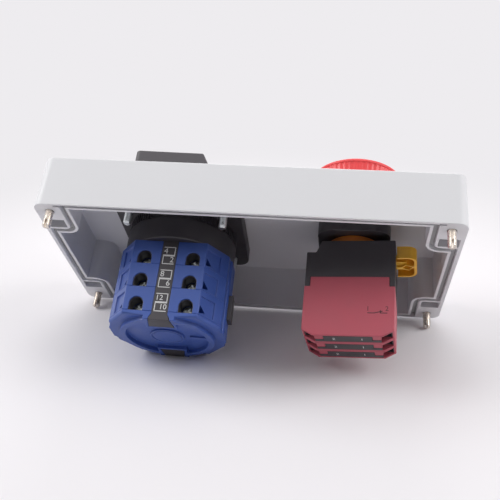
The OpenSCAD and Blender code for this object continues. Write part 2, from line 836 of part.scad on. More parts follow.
module latch_housing() {
    slot_half = slider_w / 2 + seat_gap;
    slot_y = nose_y + slider_l + latch_spring_l;
    color(black) at_cam() difference() {
        union() {
            plate(plate_side / 2, plate_side / 2, latch_plate_r, plate_z, face_in);
            rod(latch_r, stages_z, plate_z);
        }
        rod(chamber_r, stages_z - over, chamber_z);
        slab(slot_half, slot_y, stages_z - over, star_z + star_t);
        rod(shaft_r + bearing_gap, chamber_z - over, face_in + over);
        four(bolt_half, bolt_half) rod(bolt_r + seat_gap, plate_z - over, face_in + over);
        for (s = [-1, 1]) translate([s * tie_x, 0, 0])
            rod(tie_r + seat_gap, stages_z - over, face_in);
        for (s = [-1, 1]) translate([s * tie_x, 0, 0])
            rod(tie_head_r + seat_gap, tie_seat_z(), face_in + over);
    }
}

module star_wheel() {
    half = shaft_side / 2 + seat_gap;
    color(steel) at_cam() difference() {
        union() {
            rod(star_r, star_z, star_z + star_t);
            rod(cam_hub_r, stages_z, collar_z);
        }
        slab(half, half, stages_z - over, collar_z + over);
        for (i = [1 : 360 / step_a]) rotate([0, 0, 90 + i * step_a])
            translate([star_r + notch_r / 2, 0, 0])
                rod(notch_r, star_z - over, star_z + star_t + over);
    }
}

module latch_sliders() {
    low = star_z + seat_gap;
    high = star_z + star_t - seat_gap;
    color(black) at_cam() both_y() {
        translate([0, nose_y, 0]) rod(slider_nose_r, low, high);
        box([-slider_w / 2, nose_y, low], [slider_w / 2, nose_y + slider_l, high]);
    }
}

module latch_springs() {
    color(steel) at_cam() both_y()
        translate([0, nose_y + slider_l, star_z + star_t / 2]) rotate([-90, 0, 0])
            ring(latch_spring_r, latch_spring_r * 3 / 4, 0, latch_spring_l - seat_gap);
}

// The contact stages

module stage_outline() {
    polygon([
        [flat_half, -stage_half_d], [stage_half_w, -side_half],
        [stage_half_w, side_half], [flat_half, stage_half_d],
        [-flat_half, stage_half_d], [-stage_half_w, side_half],
        [-stage_half_w, -side_half], [-flat_half, -stage_half_d]
    ]);
    for (s = [-1, 1])
        translate([s * (stage_half_w + pillar_out - pillar_half), 0])
            rounded(pillar_half, pillar_half, pillar_half / 3);
}

// One terminal hole: round towards the lid, flat towards the end cap
module terminal_hole() {
    r = hole_w / 2;
    rotate([90, 0, 0]) translate([0, 0, room_half - over])
        linear_extrude(stage_half_d - room_half + 2 * over) {
            translate([hole_x - r, -stage_h - over]) square([hole_w, hole_h - r + over]);
            translate([hole_x, -stage_h + hole_h - r]) circle(r);
        }
}

// One wire entry in a bevel, seen as a triangle with its upright side on the flat's side
module wire_entry() {
    translate([flat_half, -stage_half_d, -hole_z]) rotate([0, 0, bevel_a])
        rotate([90, 0, 0]) translate([strip_t, 0, -wire_d])
            linear_extrude(wire_d + over)
                polygon([[0, -wire_h / 2], [0, wire_h / 2], [wire_w, -wire_h / 4]]);
}

// The shallow recess that each wire entry opens into
module bevel_recess() {
    translate([flat_half, -stage_half_d, -recess_top]) rotate([0, 0, bevel_a])
        box([strip_t, -over, -recess_h], [strip_t + recess_w, recess_d, 0]);
}

module stage_body(k) {
    top = stages_z - k * stage_h;
    difference() {
        translate([0, 0, top - stage_h]) linear_extrude(stage_h) stage_outline();
        rod(cam_hub_r + run_gap, top - stage_h, top + over);
        rod(cam_room_r, top - stage_h - over, top - web_t);
        both_x() box([room_in, -room_half, top - stage_h - over],
            [room_out, room_half, top - room_top]);
        translate([0, 0, top]) both_x() both_y() {
            terminal_hole();
            wire_entry();
            bevel_recess();
        }
        for (s = [-1, 1]) translate([s * tie_x, 0, 0])
            rod(tie_r + seat_gap, top - stage_h - over, top + over);
        both_y() label_strip(seat_gap);
        side_tab_solid(seat_gap / 2);
    }
}

module stage_1() {
    color(blue) at_cam() stage_body(0);
}

module stage_2() {
    color(blue) at_cam() stage_body(1);
}

module stage_3() {
    color(blue) at_cam() stage_body(2);
}

// A wedge of the cam's rim between two angles, from bottom to top
module cam_dip_cut(a, low, high) {
    reach = cam_r + over;
    side = reach / cos(cam_dip_a);
    rotate([0, 0, a]) translate([0, 0, low]) linear_extrude(high - low) difference() {
        polygon([
            [0, 0], [side * cos(cam_dip_a), -side * sin(cam_dip_a)],
            [side * cos(cam_dip_a), side * sin(cam_dip_a)]
        ]);
        circle(cam_r - cam_dip);
    }
}

module cam_body(k) {
    top = stages_z - k * stage_h;
    low = top - stage_h + (k == count - 1 ? run_gap : 0);
    disc_top = top - web_t - run_gap;
    half = shaft_side / 2 + seat_gap;
    difference() {
        union() {
            rod(cam_hub_r, low, top);
            rod(cam_r, disc_top - cam_t, disc_top);
        }
        slab(half, half, low - over, top + over);
        for (a = dip_a[k]) cam_dip_cut(a, disc_top - cam_t - over, disc_top + over);
    }
}

module cam_1() {
    color(black) at_cam() cam_body(0);
}

module cam_2() {
    color(knob_grey) at_cam() cam_body(1);
}

module cam_3() {
    color(black) at_cam() cam_body(2);
}

module each_stage() {
    for (k = [0 : count - 1]) translate([0, 0, stages_z - k * stage_h]) children();
}

module cam_followers() {
    half_h = (bridge_h + strip_t) / 2 - seat_gap;
    color(knob_grey) at_cam() each_stage() both_x()
        box([cam_r + run_gap, -follower_half, -bridge_z - half_h],
            [bridge_x, follower_half, -bridge_z + half_h]);
}

module contact_bridges() {
    color(brass_tone) at_cam() each_stage() both_x() {
        box([bridge_x, -bridge_half, -bridge_z - bridge_h / 2],
            [bridge_x + strip_t, bridge_half, -bridge_z + bridge_h / 2]);
        for (s = [-1, 1]) translate([bridge_x - tip_h, s * tip_y, -bridge_z])
            rotate([0, 90, 0]) cylinder(r = tip_r, h = tip_h + strip_t / 2);
    }
}

module contact_springs() {
    color(steel) at_cam() each_stage() both_x()
        translate([bridge_x + strip_t, 0, -bridge_z]) rotate([0, 90, 0])
            ring(contact_spring_r, contact_spring_r * 3 / 4,
                0, room_out - bridge_x - strip_t - seat_gap);
}

// The fixed strip and terminal plate of one corner of a stage
module terminal_plate() {
    foot_y = room_half - seat_gap - strip_t;
    difference() {
        union() {
            box([fixed_x, fixed_in, -bridge_z - fixed_h / 2],
                [fixed_x + strip_t, foot_y + strip_t / 2, -bridge_z + fixed_h / 2]);
            box([hole_x - foot_w / 2 + seat_gap, foot_y, -stage_h + strip_t / 4],
                [hole_x + foot_w / 2, foot_y + strip_t, -bridge_z + fixed_h / 2]);
            translate([fixed_x + strip_t / 2, tip_y, -bridge_z])
                rotate([0, 90, 0]) cylinder(r = tip_r, h = strip_t);
        }
        translate([hole_x, foot_y - over, -hole_z]) rotate([-90, 0, 0])
            cylinder(r = term_r + seat_gap, h = strip_t + 2 * over);
    }
}

module terminals(k) {
    translate([0, 0, stages_z - k * stage_h]) both_x() both_y() terminal_plate();
}

module terminals_1() {
    color(brass_tone) at_cam() terminals(0);
}

module terminals_2() {
    color(brass_tone) at_cam() terminals(1);
}

module terminals_3() {
    color(brass_tone) at_cam() terminals(2);
}

module terminal_screws() {
    seat_y = room_half - seat_gap;
    color(steel) at_cam() each_stage() both_x() both_y()
        translate([hole_x, seat_y, -hole_z]) rotate([-90, 0, 0]) difference() {
            union() {
                rod(term_r, -term_l, 0);
                rod(term_head_r, 0, term_head_h);
            }
            slab(term_head_r - seat_gap, term_r / 4, term_head_h / 2, term_head_h + over);
            slab(term_r / 4, term_head_r - seat_gap, term_head_h / 2, term_head_h + over);
        }
}

// The end of the stages

module end_cap() {
    plate_low = cap_z - cap_plate_t;
    color(blue) at_cam() difference() {
        union() {
            translate([0, 0, plate_low]) linear_extrude(cap_plate_t) stage_outline();
            ring(cap_ring_r, cap_ring_r - cap_ring_w, end_z, plate_low + over / 2);
            rod(cap_disc_r, plate_low - cap_disc_h, plate_low + over / 2);
            both_y() box([-cap_pad_half, stage_half_d - cap_pad_l, end_z],
                [cap_pad_half, stage_half_d, plate_low + over / 2]);
            box([cap_disc_r * 4 / 3, -cap_ring_w / 2, plate_low - cap_disc_h],
                [cap_ring_r - cap_ring_w / 2, cap_ring_w / 2, plate_low + over / 2]);
        }
        ring(cap_disc_r - cap_ring_w / 4, cap_disc_r - cap_ring_w / 2,
            plate_low - cap_disc_h - over, plate_low - cap_disc_h / 2);
        rod(pin_r + bearing_gap, cap_z - pin_l - run_gap, cap_z + over);
        for (s = [-1, 1]) translate([s * tie_x, 0, 0])
            rod(tie_r + seat_gap, tie_end_z() - seat_gap, cap_z + over);
        both_y() label_strip(seat_gap);
    }
}

// Where the tie bolts' heads rest, in the square plate behind the lid
function tie_seat_z() = face_in - tie_in - tie_head_h;

// Where the tie bolts end, inside the end cap's plate
function tie_end_z() = cap_z - cap_plate_t / 2;

module tie_bolts() {
    head_top = tie_seat_z() + tie_head_h;
    color(steel) at_cam() for (s = [-1, 1]) translate([s * tie_x, 0, 0]) difference() {
        union() {
            rod(tie_r, tie_end_z(), head_top - tie_head_h / 2);
            rod(tie_head_r, tie_seat_z(), head_top);
        }
        slab(tie_r, tie_r / 4, head_top - tie_head_h / 2, head_top + over);
        slab(tie_r / 4, tie_r, head_top - tie_head_h / 2, head_top + over);
    }
}

// One label strip with its hook over the end cap, widened by gap where it is a cut
module label_strip(gap) {
    half = label_w / 2 + gap;
    bend = bend_w / 2 + gap;
    hook = hook_w / 2 + gap;
    flare_z = end_z + flare_l;
    out = gap > 0 ? over : 0;
    depth = stage_half_d - label_t - gap;
    rotate([90, 0, 0]) translate([0, 0, depth])
        linear_extrude(label_t + gap + out)
            polygon([
                [-half, stages_z + out], [-half, flare_z], [-bend, end_z + label_t],
                [-bend, end_z - out], [bend, end_z - out], [bend, end_z + label_t],
                [half, flare_z], [half, stages_z + out]
            ]);
    translate([0, 0, end_z - out]) linear_extrude(label_t + gap + out)
        polygon([
            [-bend, -stage_half_d - out], [-hook, hook_l + gap - stage_half_d],
            [hook, hook_l + gap - stage_half_d], [bend, -stage_half_d - out]
        ]);
}

module label_strip_near() {
    color(black) at_cam() label_strip(0);
}

module label_strip_far() {
    color(black) at_cam() mirror([0, 1, 0]) label_strip(0);
}

module side_tab_solid(gap) {
    wall_x = stage_half_w + pillar_out;
    box([wall_x - tab_in - gap, -tab_half - gap, -tab_top - tab_h - gap],
        [wall_x + tab_out, tab_half + gap, -tab_top + gap]);
}

module side_tab() {
    color(black) at_cam() side_tab_solid(0);
}

// The emergency stop in front of the lid

module stop_head() {
    color(red) at_stop() difference() {
        rotate_extrude() polygon([
            [0, neck_z], [neck_r, neck_z], [neck_r, head_low_z],
            [head_low_r, head_low_z], [head_r, head_edge_z - head_side / 6],
            [head_r - head_side / 12, head_edge_z + head_side / 12],
            [head_r * 7 / 8, head_edge_z + head_crown / 3],
            [head_r * 5 / 8, head_edge_z + head_crown * 2 / 3],
            [head_r / 3, head_edge_z + head_crown * 11 / 12],
            [0, head_edge_z + head_crown]
        ]);
        rod(stem_r + bearing_gap, neck_z - over, neck_z + stem_in_head + run_gap);
    }
}

module stop_stem() {
    color(black) at_stop() {
        rod(stem_r, foot_z, neck_z + stem_in_head);
        rod(stem_collar_r, stem_collar_z, stem_collar_z + stem_collar_t);
        slab(foot_half_x, foot_half_y, foot_z, foot_z + foot_t);
    }
}

module stop_body() {
    color(black) at_stop() difference() {
        union() {
            rod(stop_ring_r, stop_body_z, stop_body_z + stop_ring_h);
            rod(barrel_r, stop_bore_z, stop_body_z + over);
        }
        rod(stem_r + bearing_gap, stop_bore_z, stop_body_z + stop_ring_h + over);
        rod(barrel_room_r, stop_bore_z - over, room_z);
    }
}

module stop_seal() {
    color(gasket_grey) at_stop()
        ring(stop_ring_r - seal_t / 2, barrel_r + seat_gap, lid_h, stop_body_z);
}

module spring_seat() {
    color(black) at_stop() ring(barrel_room_r - seat_gap / 2, stem_r + run_gap,
        stop_bore_z, stop_bore_z + seat_h);
}

module stop_spring() {
    low = stop_bore_z + seat_h;
    color(steel) at_stop() ring(stem_r + run_gap + stop_spring_w, stem_r + run_gap,
        low, low + stop_spring_h);
}

// The emergency stop behind the lid

module fixing_collar() {
    color(black) stand() translate([stop_off, 0, 0]) rotate([0, 0, -fix_yaw]) difference() {
        plate(fix_side / 2, fix_side / 2, fix_r, fix_z, face_in);
        rod(barrel_r + seat_gap, fix_z - over, face_in + over);
    }
}

// The lever seen from its end: straight at the inner side, round at the outer side
module lever_outline(inset) {
    half_x = (lever_out - lever_in) / 2;
    past = inset > 0 ? over : 0;
    translate([lever_in + half_x, 0])
        rounded(half_x - inset, lever_half - inset, lever_r - inset);
    translate([lever_in - past, inset - lever_half])
        square([half_x + past, 2 * (lever_half - inset)]);
}

module lever_socket(half, low, high) {
    translate([(lever_in + lever_out) / 2, 0, 0]) rotate([0, 0, lever_turn])
        slab(half, half, low, high);
}

module lock_lever() {
    lever_low = lock_z - lever_wall / 2;
    under_roof = lever_low + lever_h - lever_wall / 2;
    color(yellow) at_stop() {
        difference() {
            union() {
                rod(lock_r, lock_z + run_gap, fix_z - run_gap);
                box([0, -lock_neck_w / 2, lock_z + run_gap],
                    [lever_in + lever_r, lock_neck_w / 2, lever_low + lever_h - lever_wall]);
            }
            rod(barrel_r + run_gap, lock_z - over, fix_z + over);
            lever_socket(socket_half - lever_wall / 2, lever_low - over, fix_z);
        }
        difference() {
            union() {
                difference() {
                    translate([0, 0, lever_low]) linear_extrude(lever_h) lever_outline(0);
                    translate([0, 0, lever_low - over])
                        linear_extrude(lever_h - lever_wall + over) lever_outline(lever_wall);
                }
                box([lever_in, -lever_wall / 2, lever_low],
                    [lever_out - lever_wall / 2, lever_wall / 2, under_roof]);
                lever_socket(socket_half, lever_low, under_roof);
            }
            lever_socket(socket_half - lever_wall / 2, lever_low - over,
                lever_low + lever_h - lever_wall);
        }
    }
}

module block_carrier() {
    leg_in = cb_top_half + seat_gap;
    shoulder_z = cb_z + shoulder_h;
    reach = carrier_half * 2;
    swing = lever_in - run_gap;
    neck_high = lock_z - lever_wall / 2 + lever_h - lever_wall + run_gap;
    color(black) at_stop() difference() {
        rotate([90, 0, 0]) translate([0, 0, -carrier_half_d])
            linear_extrude(2 * carrier_half_d) polygon([
                [-carrier_half, cb_z - leg_l], [-carrier_half, shoulder_z],
                [-shoulder_x, shoulder_z], [-carrier_top_x, carrier_z],
                [carrier_half, carrier_z], [carrier_half, cb_z - leg_l],
                [leg_in, cb_z - leg_l], [leg_in, cb_z],
                [-leg_in, cb_z], [-leg_in, cb_z - leg_l]
            ]);
        rod(lock_r + seat_gap + seat_gap, lock_z, carrier_z + over);
        rod(stem_r + run_gap, cb_z, carrier_z);
        slab(foot_half_x + run_gap, foot_half_y + run_gap, cb_z - over,
            foot_z + foot_t + run_gap);
        translate([0, 0, lock_z]) linear_extrude(neck_high - lock_z) polygon([
            [0, -lock_neck_w / 2 - run_gap], [reach, -lock_neck_w / 2 - run_gap],
            [reach, reach], [reach * cos(2 * lever_turn), reach * sin(2 * lever_turn)], [0, 0]
        ]);
        difference() {
            box([0, 0, lock_z - lever_wall], [reach, reach, carrier_z + over]);
            rod(swing, lock_z - lever_wall - over, carrier_z + 2 * over);
        }
    }
}

// The contact blocks

function block_y_at(k) = (k - (count - 1) / 2) * cb_t;

module cb_outline() {
    low = cb_z - cb_h;
    polygon([
        [-cb_top_half, cb_z], [-cb_top_half, cb_z - leg_l], [-cb_half, cb_z - leg_l],
        [-cb_half, low + cb_slope], [-cb_end_half, low], [cb_end_half, low],
        [cb_half, low + cb_slope], [cb_half, cb_z - leg_l], [cb_top_half, cb_z - leg_l],
        [cb_top_half, cb_z]
    ]);
}

module at_block(k) {
    translate([0, block_y_at(k), 0]) children();
}

module block_body(k) {
    half_t = cb_t / 2;
    room_half_d = half_t - cb_wall;
    foot_top = cb_floor + cb_strip_t / 2 + cb_strip_t + cb_strip_t;
    low = cb_z - cb_h;
    difference() {
        at_block(k) difference() {
            rotate([90, 0, 0]) translate([0, 0, -half_t]) linear_extrude(cb_t) cb_outline();
            slab(cb_room_half, room_half_d, cb_floor, cb_z - cb_roof);
            slab(plunger_half + run_gap, plunger_half_d + run_gap, cb_floor, cb_z + over);
            both_x() box([cb_screw_x - cb_open_w / 2, -room_half_d, low - over],
                [cb_screw_x + cb_open_w / 2, room_half_d, foot_top + cb_strip_t]);
        }
        insert_solid(k, seat_gap, low - over, cb_floor + over);
    }
}

module block_1() {
    color(pink) at_stop() block_body(0);
}

module block_2() {
    color(pink) at_stop() block_body(1);
}

module block_3() {
    color(pink) at_stop() block_body(2);
}

// The insert seen from its end: narrow at the near side, wide at the far side
module insert_solid(k, gap, low, high) {
    half_d = cb_t / 2 - cb_wall - seat_gap + gap;
    wide = cb_screw_x - cb_open_w / 2 - seat_gap + gap;
    at_block(k) {
        slab(insert_half + gap, half_d, low, high);
        box([-wide, insert_step - half_d - gap, low], [wide, half_d, high]);
    }
}

module block_insert(k) {
    insert_solid(k, 0, cb_z - cb_h, cb_floor);
}

module block_insert_1() {
    color(black) at_stop() block_insert(0);
}

module block_insert_2() {
    color(black) at_stop() block_insert(1);
}

module block_insert_3() {
    color(black) at_stop() block_insert(2);
}

module block_plunger(k) {
    at_block(k) slab(plunger_half, plunger_half_d, cb_bridge_z, plunger_z);
}

module block_plunger_1() {
    color(steel) at_stop() block_plunger(0);
}

module block_plunger_2() {
    color(steel) at_stop() block_plunger(1);
}

module block_plunger_3() {
    color(steel) at_stop() block_plunger(2);
}

module block_bridge(k) {
    low = cb_bridge_z - cb_strip_t;
    at_block(k) {
        slab(cb_bridge_half, cb_strip_half, low, cb_bridge_z);
        for (s = [-1, 1]) translate([s * cb_tip_x, 0, 0])
            rod(tip_r, low, cb_bridge_z + cb_tip_h);
    }
}

module block_bridge_1() {
    color(brass_tone) at_stop() block_bridge(0);
}

module block_bridge_2() {
    color(brass_tone) at_stop() block_bridge(1);
}

module block_bridge_3() {
    color(brass_tone) at_stop() block_bridge(2);
}

// The two fixed strips of one block, from the contact tip to the terminal screw
module block_terminals(k) {
    arm_z = cb_z - cb_fixed;
    foot_low = cb_floor + cb_strip_t / 2;
    riser_x = cb_room_half - seat_gap - cb_strip_t;
    at_block(k) both_x() difference() {
        union() {
            box([cb_tip_x - tip_r, -cb_strip_half, arm_z - cb_strip_t],
                [riser_x + cb_strip_t, cb_strip_half, arm_z]);
            box([riser_x, -cb_strip_half, foot_low], [riser_x + cb_strip_t, cb_strip_half, arm_z]);
            box([riser_x, -cb_strip_half, foot_low],
                [cb_screw_x + cb_open_w / 2 - seat_gap, cb_strip_half, foot_low + cb_strip_t]);
            translate([cb_tip_x, 0, 0])
                rod(tip_r, arm_z - cb_strip_t - cb_tip_h, arm_z - cb_strip_t / 2);
        }
        translate([cb_screw_x, 0, 0])
            rod(cb_screw_r + seat_gap, foot_low - over, foot_low + cb_strip_t + over);
    }
}

module block_terminals_1() {
    color(brass_tone) at_stop() block_terminals(0);
}

module block_terminals_2() {
    color(brass_tone) at_stop() block_terminals(1);
}

module block_terminals_3() {
    color(brass_tone) at_stop() block_terminals(2);
}

module block_screws() {
    seat_z = cb_floor + cb_strip_t / 2;
    color(steel) at_stop() for (k = [0 : count - 1]) at_block(k) both_x()
        translate([cb_screw_x, 0, 0]) difference() {
            union() {
                rod(cb_screw_r, seat_z, seat_z + cb_strip_t + cb_strip_t);
                rod(cb_head_r, seat_z - cb_head_h, seat_z);
            }
            slab(cb_screw_r, cb_screw_r / 4, seat_z - cb_head_h - over, seat_z - cb_head_h / 2);
            slab(cb_screw_r / 4, cb_screw_r, seat_z - cb_head_h - over, seat_z - cb_head_h / 2);
        }
}

module block_springs() {
    room = cb_bridge_z - cb_strip_t - press - run_gap - cb_floor;
    color(steel) at_stop() for (k = [0 : count - 1]) at_block(k)
        ring(plunger_half, plunger_half * 3 / 4, cb_floor, cb_floor + room);
}

cover();
cover_gasket();
cover_screws();
panel_seal();
bezel_frame();
dial_plate();
mounting_screws();
knob();
knob_screw();
knob_cap();
switch_shaft();
latch_housing();
star_wheel();
latch_sliders();
latch_springs();
stage_1();
stage_2();
stage_3();
cam_1();
cam_2();
cam_3();
cam_followers();
contact_bridges();
contact_springs();
terminals_1();
terminals_2();
terminals_3();
terminal_screws();
end_cap();
tie_bolts();
label_strip_near();
label_strip_far();
side_tab();
stop_head();
stop_stem();
stop_body();
stop_seal();
stop_spring();
spring_seat();
fixing_collar();
lock_lever();
block_carrier();
block_1();
block_2();
block_3();
block_insert_1();
block_insert_2();
block_insert_3();
block_plunger_1();
block_plunger_2();
block_plunger_3();
block_bridge_1();
block_bridge_2();
block_bridge_3();
block_terminals_1();
block_terminals_2();
block_terminals_3();
block_screws();
block_springs();
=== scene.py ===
import json
from math import ceil, cos, pi, radians, sin

import bmesh
import bpy
from bpy.props import FloatProperty, FloatVectorProperty, IntProperty, PointerProperty
from mathutils import Matrix, Vector
from mathutils.bvhtree import BVHTree

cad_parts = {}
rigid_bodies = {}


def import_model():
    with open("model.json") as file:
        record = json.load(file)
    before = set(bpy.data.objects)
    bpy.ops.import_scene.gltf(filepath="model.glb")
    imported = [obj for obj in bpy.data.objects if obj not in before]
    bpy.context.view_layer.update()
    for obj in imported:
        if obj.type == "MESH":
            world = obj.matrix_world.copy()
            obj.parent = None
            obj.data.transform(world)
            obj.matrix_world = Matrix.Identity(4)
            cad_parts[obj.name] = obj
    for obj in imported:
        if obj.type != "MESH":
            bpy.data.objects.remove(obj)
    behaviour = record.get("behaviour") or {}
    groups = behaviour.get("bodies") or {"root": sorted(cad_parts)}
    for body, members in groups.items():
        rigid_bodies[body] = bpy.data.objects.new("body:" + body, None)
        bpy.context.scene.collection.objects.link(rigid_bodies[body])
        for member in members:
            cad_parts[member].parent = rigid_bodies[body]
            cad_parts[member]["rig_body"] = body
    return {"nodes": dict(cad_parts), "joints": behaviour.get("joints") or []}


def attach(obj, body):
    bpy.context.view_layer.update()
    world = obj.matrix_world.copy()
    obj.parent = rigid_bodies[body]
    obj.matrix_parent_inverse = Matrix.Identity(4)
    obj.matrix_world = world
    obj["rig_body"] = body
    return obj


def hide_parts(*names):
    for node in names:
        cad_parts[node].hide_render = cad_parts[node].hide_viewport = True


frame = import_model()

bl_info = {
    "name": "Control box lid with reversing switch",
    "version": (1, 0, 0),
    "blender": (4, 5, 0),
    "location": "3D View > Sidebar > Switch lid",
    "description": "Builds the looks of a reversing switch and a stop button mounted in a box lid",
    "category": "Object",
}

MM = 0.001
# Turn of the stop button in its round hole
STOP_TURN = radians(-6.8)
# Stages of the switch, and contact blocks of the stop
COUNT = 3
SIDES = (-1, 1)
# Radius of the heads of the contact blocks' terminal screws
BLOCK_SCREW_R = 2.2 * MM
# The floor's colour far from the object, and the world's strength, as the camera sees them
BACKDROP = "EEECEF"
BACKDROP_STRENGTH = 0.97
# Distances from the middle between which the floor goes over to its plain colour, in metres
PAPER_NEAR, PAPER_FAR = 0.12, 0.3
FLOOR_HALF = 4.0
# Rounding of small stamped, turned and moulded pieces
FINE = 0.15 * MM
# How deep a print is set in its face, so that no gap shows under it
SINK = 0.01 * MM
# Points nearer than this are one point, in a drawn mesh and in a CAD node's loose triangles
SAME = 0.001 * MM
CAD_SAME = 0.01 * MM
# How far a cutter reaches past what it cuts
PAST = MM
# Faces that meet at less than FLAT are made one. A corner of more than CORNER may be rounded,
# and one of more than SHARP looks sharp.
FLAT, CORNER, SHARP = radians(0.4), radians(30), radians(35)
# Height of a figure as a share of its font's size
FIGURE_SHARE = 0.7


# Where things are: the lid leans, so each piece is drawn square to the lid and then placed


def moved(x=0, y=0, z=0):
    """The matrix of a shift."""
    return Matrix.Translation((x, y, z))


def turned(angle, axis="Z"):
    """The matrix of a turn."""
    return Matrix.Rotation(angle, 4, axis)


def joint(name):
    """The record's joint of that name."""
    return next(j for j in frame["joints"] if j["name"] == name)


def points_of(node, space):
    """A CAD node's points, along a space's own axes."""
    inverse = space.inverted()
    return [inverse @ v.co for v in frame["nodes"][node].data.vertices]


def span(node, space):
    """Lowest and highest corner of a CAD node, along a space's own axes."""
    points = points_of(node, space)
    low = Vector([min(p[i] for p in points) for i in range(3)])
    high = Vector([max(p[i] for p in points) for i in range(3)])
    return low, high


def lid_space():
    """X along the lid, Z out of its face, zero in the middle of its rim."""
    out = Vector(joint("knob_turn")["axis"]).normalized()
    along = Vector((1, 0, 0))
    turn = Matrix((along, out.cross(along), out)).transposed().to_4x4()
    low, high = span("cover", turn)
    return turn @ moved((low.x + high.x) / 2, (low.y + high.y) / 2, low.z)


def axis_space(name, turn=0.0):
    """The lid's space moved to a joint's axis, and turned about it."""
    at = LID.inverted() @ Vector(joint(name)["pos_m"])
    return LID @ moved(at.x, at.y) @ turned(turn)


LID = lid_space()
SWITCH = axis_space("knob_turn")
STOP = axis_space("stop_twist", STOP_TURN)
# Lays a flat drawing on the near side, its top towards the lid's face
NEAR_FACE = turned(pi / 2, "X")
# Lays a flat drawing on the far side in the same way
FAR_FACE = turned(pi) @ NEAR_FACE


def hexa(code):
    """The linear colour of an sRGB hex value."""
    values = [int(code[i:i + 2], 16) / 255 for i in (0, 2, 4)]
    linear = [v / 12.92 if v <= 0.04045 else ((v + 0.055) / 1.055) ** 2.4 for v in values]
    return (*linear, 1.0)


# Sizes and colours that a user would change


def length(name, description, value):
    """A size, given in millimetres."""
    return FloatProperty(name=name, description=description, default=value * MM, unit="LENGTH")


def power(side, value):
    """The power of one lamp, in watts."""
    return FloatProperty(
        name=f"{side} light", description=f"Power of the {side.lower()} light", default=value)


def colour(name, description, code):
    """A colour, given as an sRGB hex value."""
    return FloatVectorProperty(
        name=name, description=description, default=hexa(code), size=4, subtype="COLOR",
        min=0.0, max=1.0,
    )


class LidSizes(bpy.types.PropertyGroup):
    """Small sizes of the lid and its fasteners."""

    edge: length("Edge rounding", "Rounding of the lid's ridges and edges", 0.32)
    gasket_edge: length("Gasket rounding", "Rounding of the gasket's edges", 0.3)
    thread_pitch: length("Thread pitch", "Pitch of the lid screws and panel bolts", 0.7)
    flute: length("Tip flute", "Width of the cutting flute in a lid screw's tip", 1.0)


class SwitchSizes(bpy.types.PropertyGroup):
    """Small sizes of the reversing switch."""

    plate_depth: length("Plate depth", "Depth of the square plate behind the lid", 7.75)
    plate_corner: length("Plate corner", "Corner radius of the square plate", 6.0)
    step: length("Housing step", "How far the housing's upper band is set back", 0.5)
    rib: length("Rib width", "Width of the fine ribs on the housing", 1.1)
    edge: length("Edge rounding", "Rounding of the moulded edges", 0.3)
    hole_width: length("Hole width", "Width of the terminal holes", 6.9)
    hole_height: length("Hole height", "Height of the terminal holes", 7.05)
    cap_plate: length("Cap plate", "Thickness of the end cap's plate", 2.2)
    cap_edge: length("Cap rounding", "Rounding of the end cap's outer edge", 1.2)
    knob_edge: length("Knob rounding", "Rounding of the knob's edges", 0.9)
    digit: length("Contact numbers", "Height of the numbers on the label strips", 2.9)
    dial_digit: length("Dial numbers", "Height of the numbers on the dial", 5.0)
    ink: length("Print thickness", "Thickness of printed marks", 0.03)
    step_angle: FloatProperty(
        name="Step angle", description="Turn between two positions of the dial",
        default=radians(60), subtype="ANGLE",
    )


class StopSizes(bpy.types.PropertyGroup):
    """Small sizes of the stop button."""

    head_ribs: IntProperty(name="Head ribs", description="Ribs round the head's side", default=54)
    rib_depth: length("Rib depth", "Depth of the ribs on the head's side", 0.38)
    edge: length("Edge rounding", "Rounding of the moulded edges", 0.35)
    ring_rise: length("Ring rise", "How far the locking ring starts above the lever's foot", 1.0)


class Finishes(bpy.types.PropertyGroup):
    """Colours of the finishes."""

    lid: colour("Lid", "Light grey moulded plastic", "E1E1E4")
    gasket: colour("Gasket", "Foam rubber in the groove", "A2A2A3")
    nickel: colour("Nickel", "Nickel plated lid screws", "DAD3CB")
    zinc: colour("Zinc", "Zinc plated bolts and screws", "D9DEDF")
    steel: colour("Steel", "Machined steel", "A9A9AB")
    black: colour("Black plastic", "Satin black moulded plastic", "343135")
    knob: colour("Knob plastic", "Dark grey moulded plastic", "454246")
    blue: colour("Blue plastic", "Blue moulded plastic of the stages", "36539E")
    pink: colour("Pink plastic", "Pink moulded plastic of the contact blocks", "B4505E")
    yellow: colour("Yellow plastic", "Yellow moulded plastic of the lever", "FFC13E")
    # Painted shade: the yellow made deeper and more orange for the locking ring, which sits in
    # shade
    yellow_in_shade: colour("Amber plastic", "Yellow moulded plastic where it is thin", "D07A28")
    red: colour("Red plastic", "Red moulded plastic of the head", "EE4648")
    natural: colour("Natural plastic", "Undyed plastic of the plungers", "DAD8CC")
    brass: colour("Brass", "Stamped contact strips", "C9A45C")
    tin: colour("Tin", "Tinned terminal plates", "A8A9AA")
    ink: colour("White print", "Printed numbers and lines", "DCDCDC")
    dark_ink: colour("Dark print", "Printed marks on pale faces", "4A2A30")
    floor: colour("Floor", "Plain pale floor", "F1EEF1")


class StageSettings(bpy.types.PropertyGroup):
    """Camera and lights."""

    camera_at: FloatVectorProperty(
        name="Camera", description="Place of the camera", size=3, subtype="TRANSLATION",
        default=(44.58 * MM, -341.71 * MM, 228.70 * MM),
    )
    camera_aim: FloatVectorProperty(
        name="Aim", description="Point that the camera looks at", size=3, subtype="TRANSLATION",
        default=(-1.27 * MM, -2.56 * MM, 52.34 * MM),
    )
    camera_roll: FloatProperty(
        name="Roll", description="Turn of the camera about its view", default=radians(-0.484),
        subtype="ANGLE",
    )
    lens: FloatProperty(name="Lens", description="Focal length in millimetres", default=54.63)
    top_light: power("Top", 20.0)
    left_light: power("Left", 13.5)
    right_light: power("Right", 12.0)
    back_light: power("Back", 5.5)
    room_light: FloatProperty(name="Room light", description="Light from all round", default=0.05)


# Mesh work


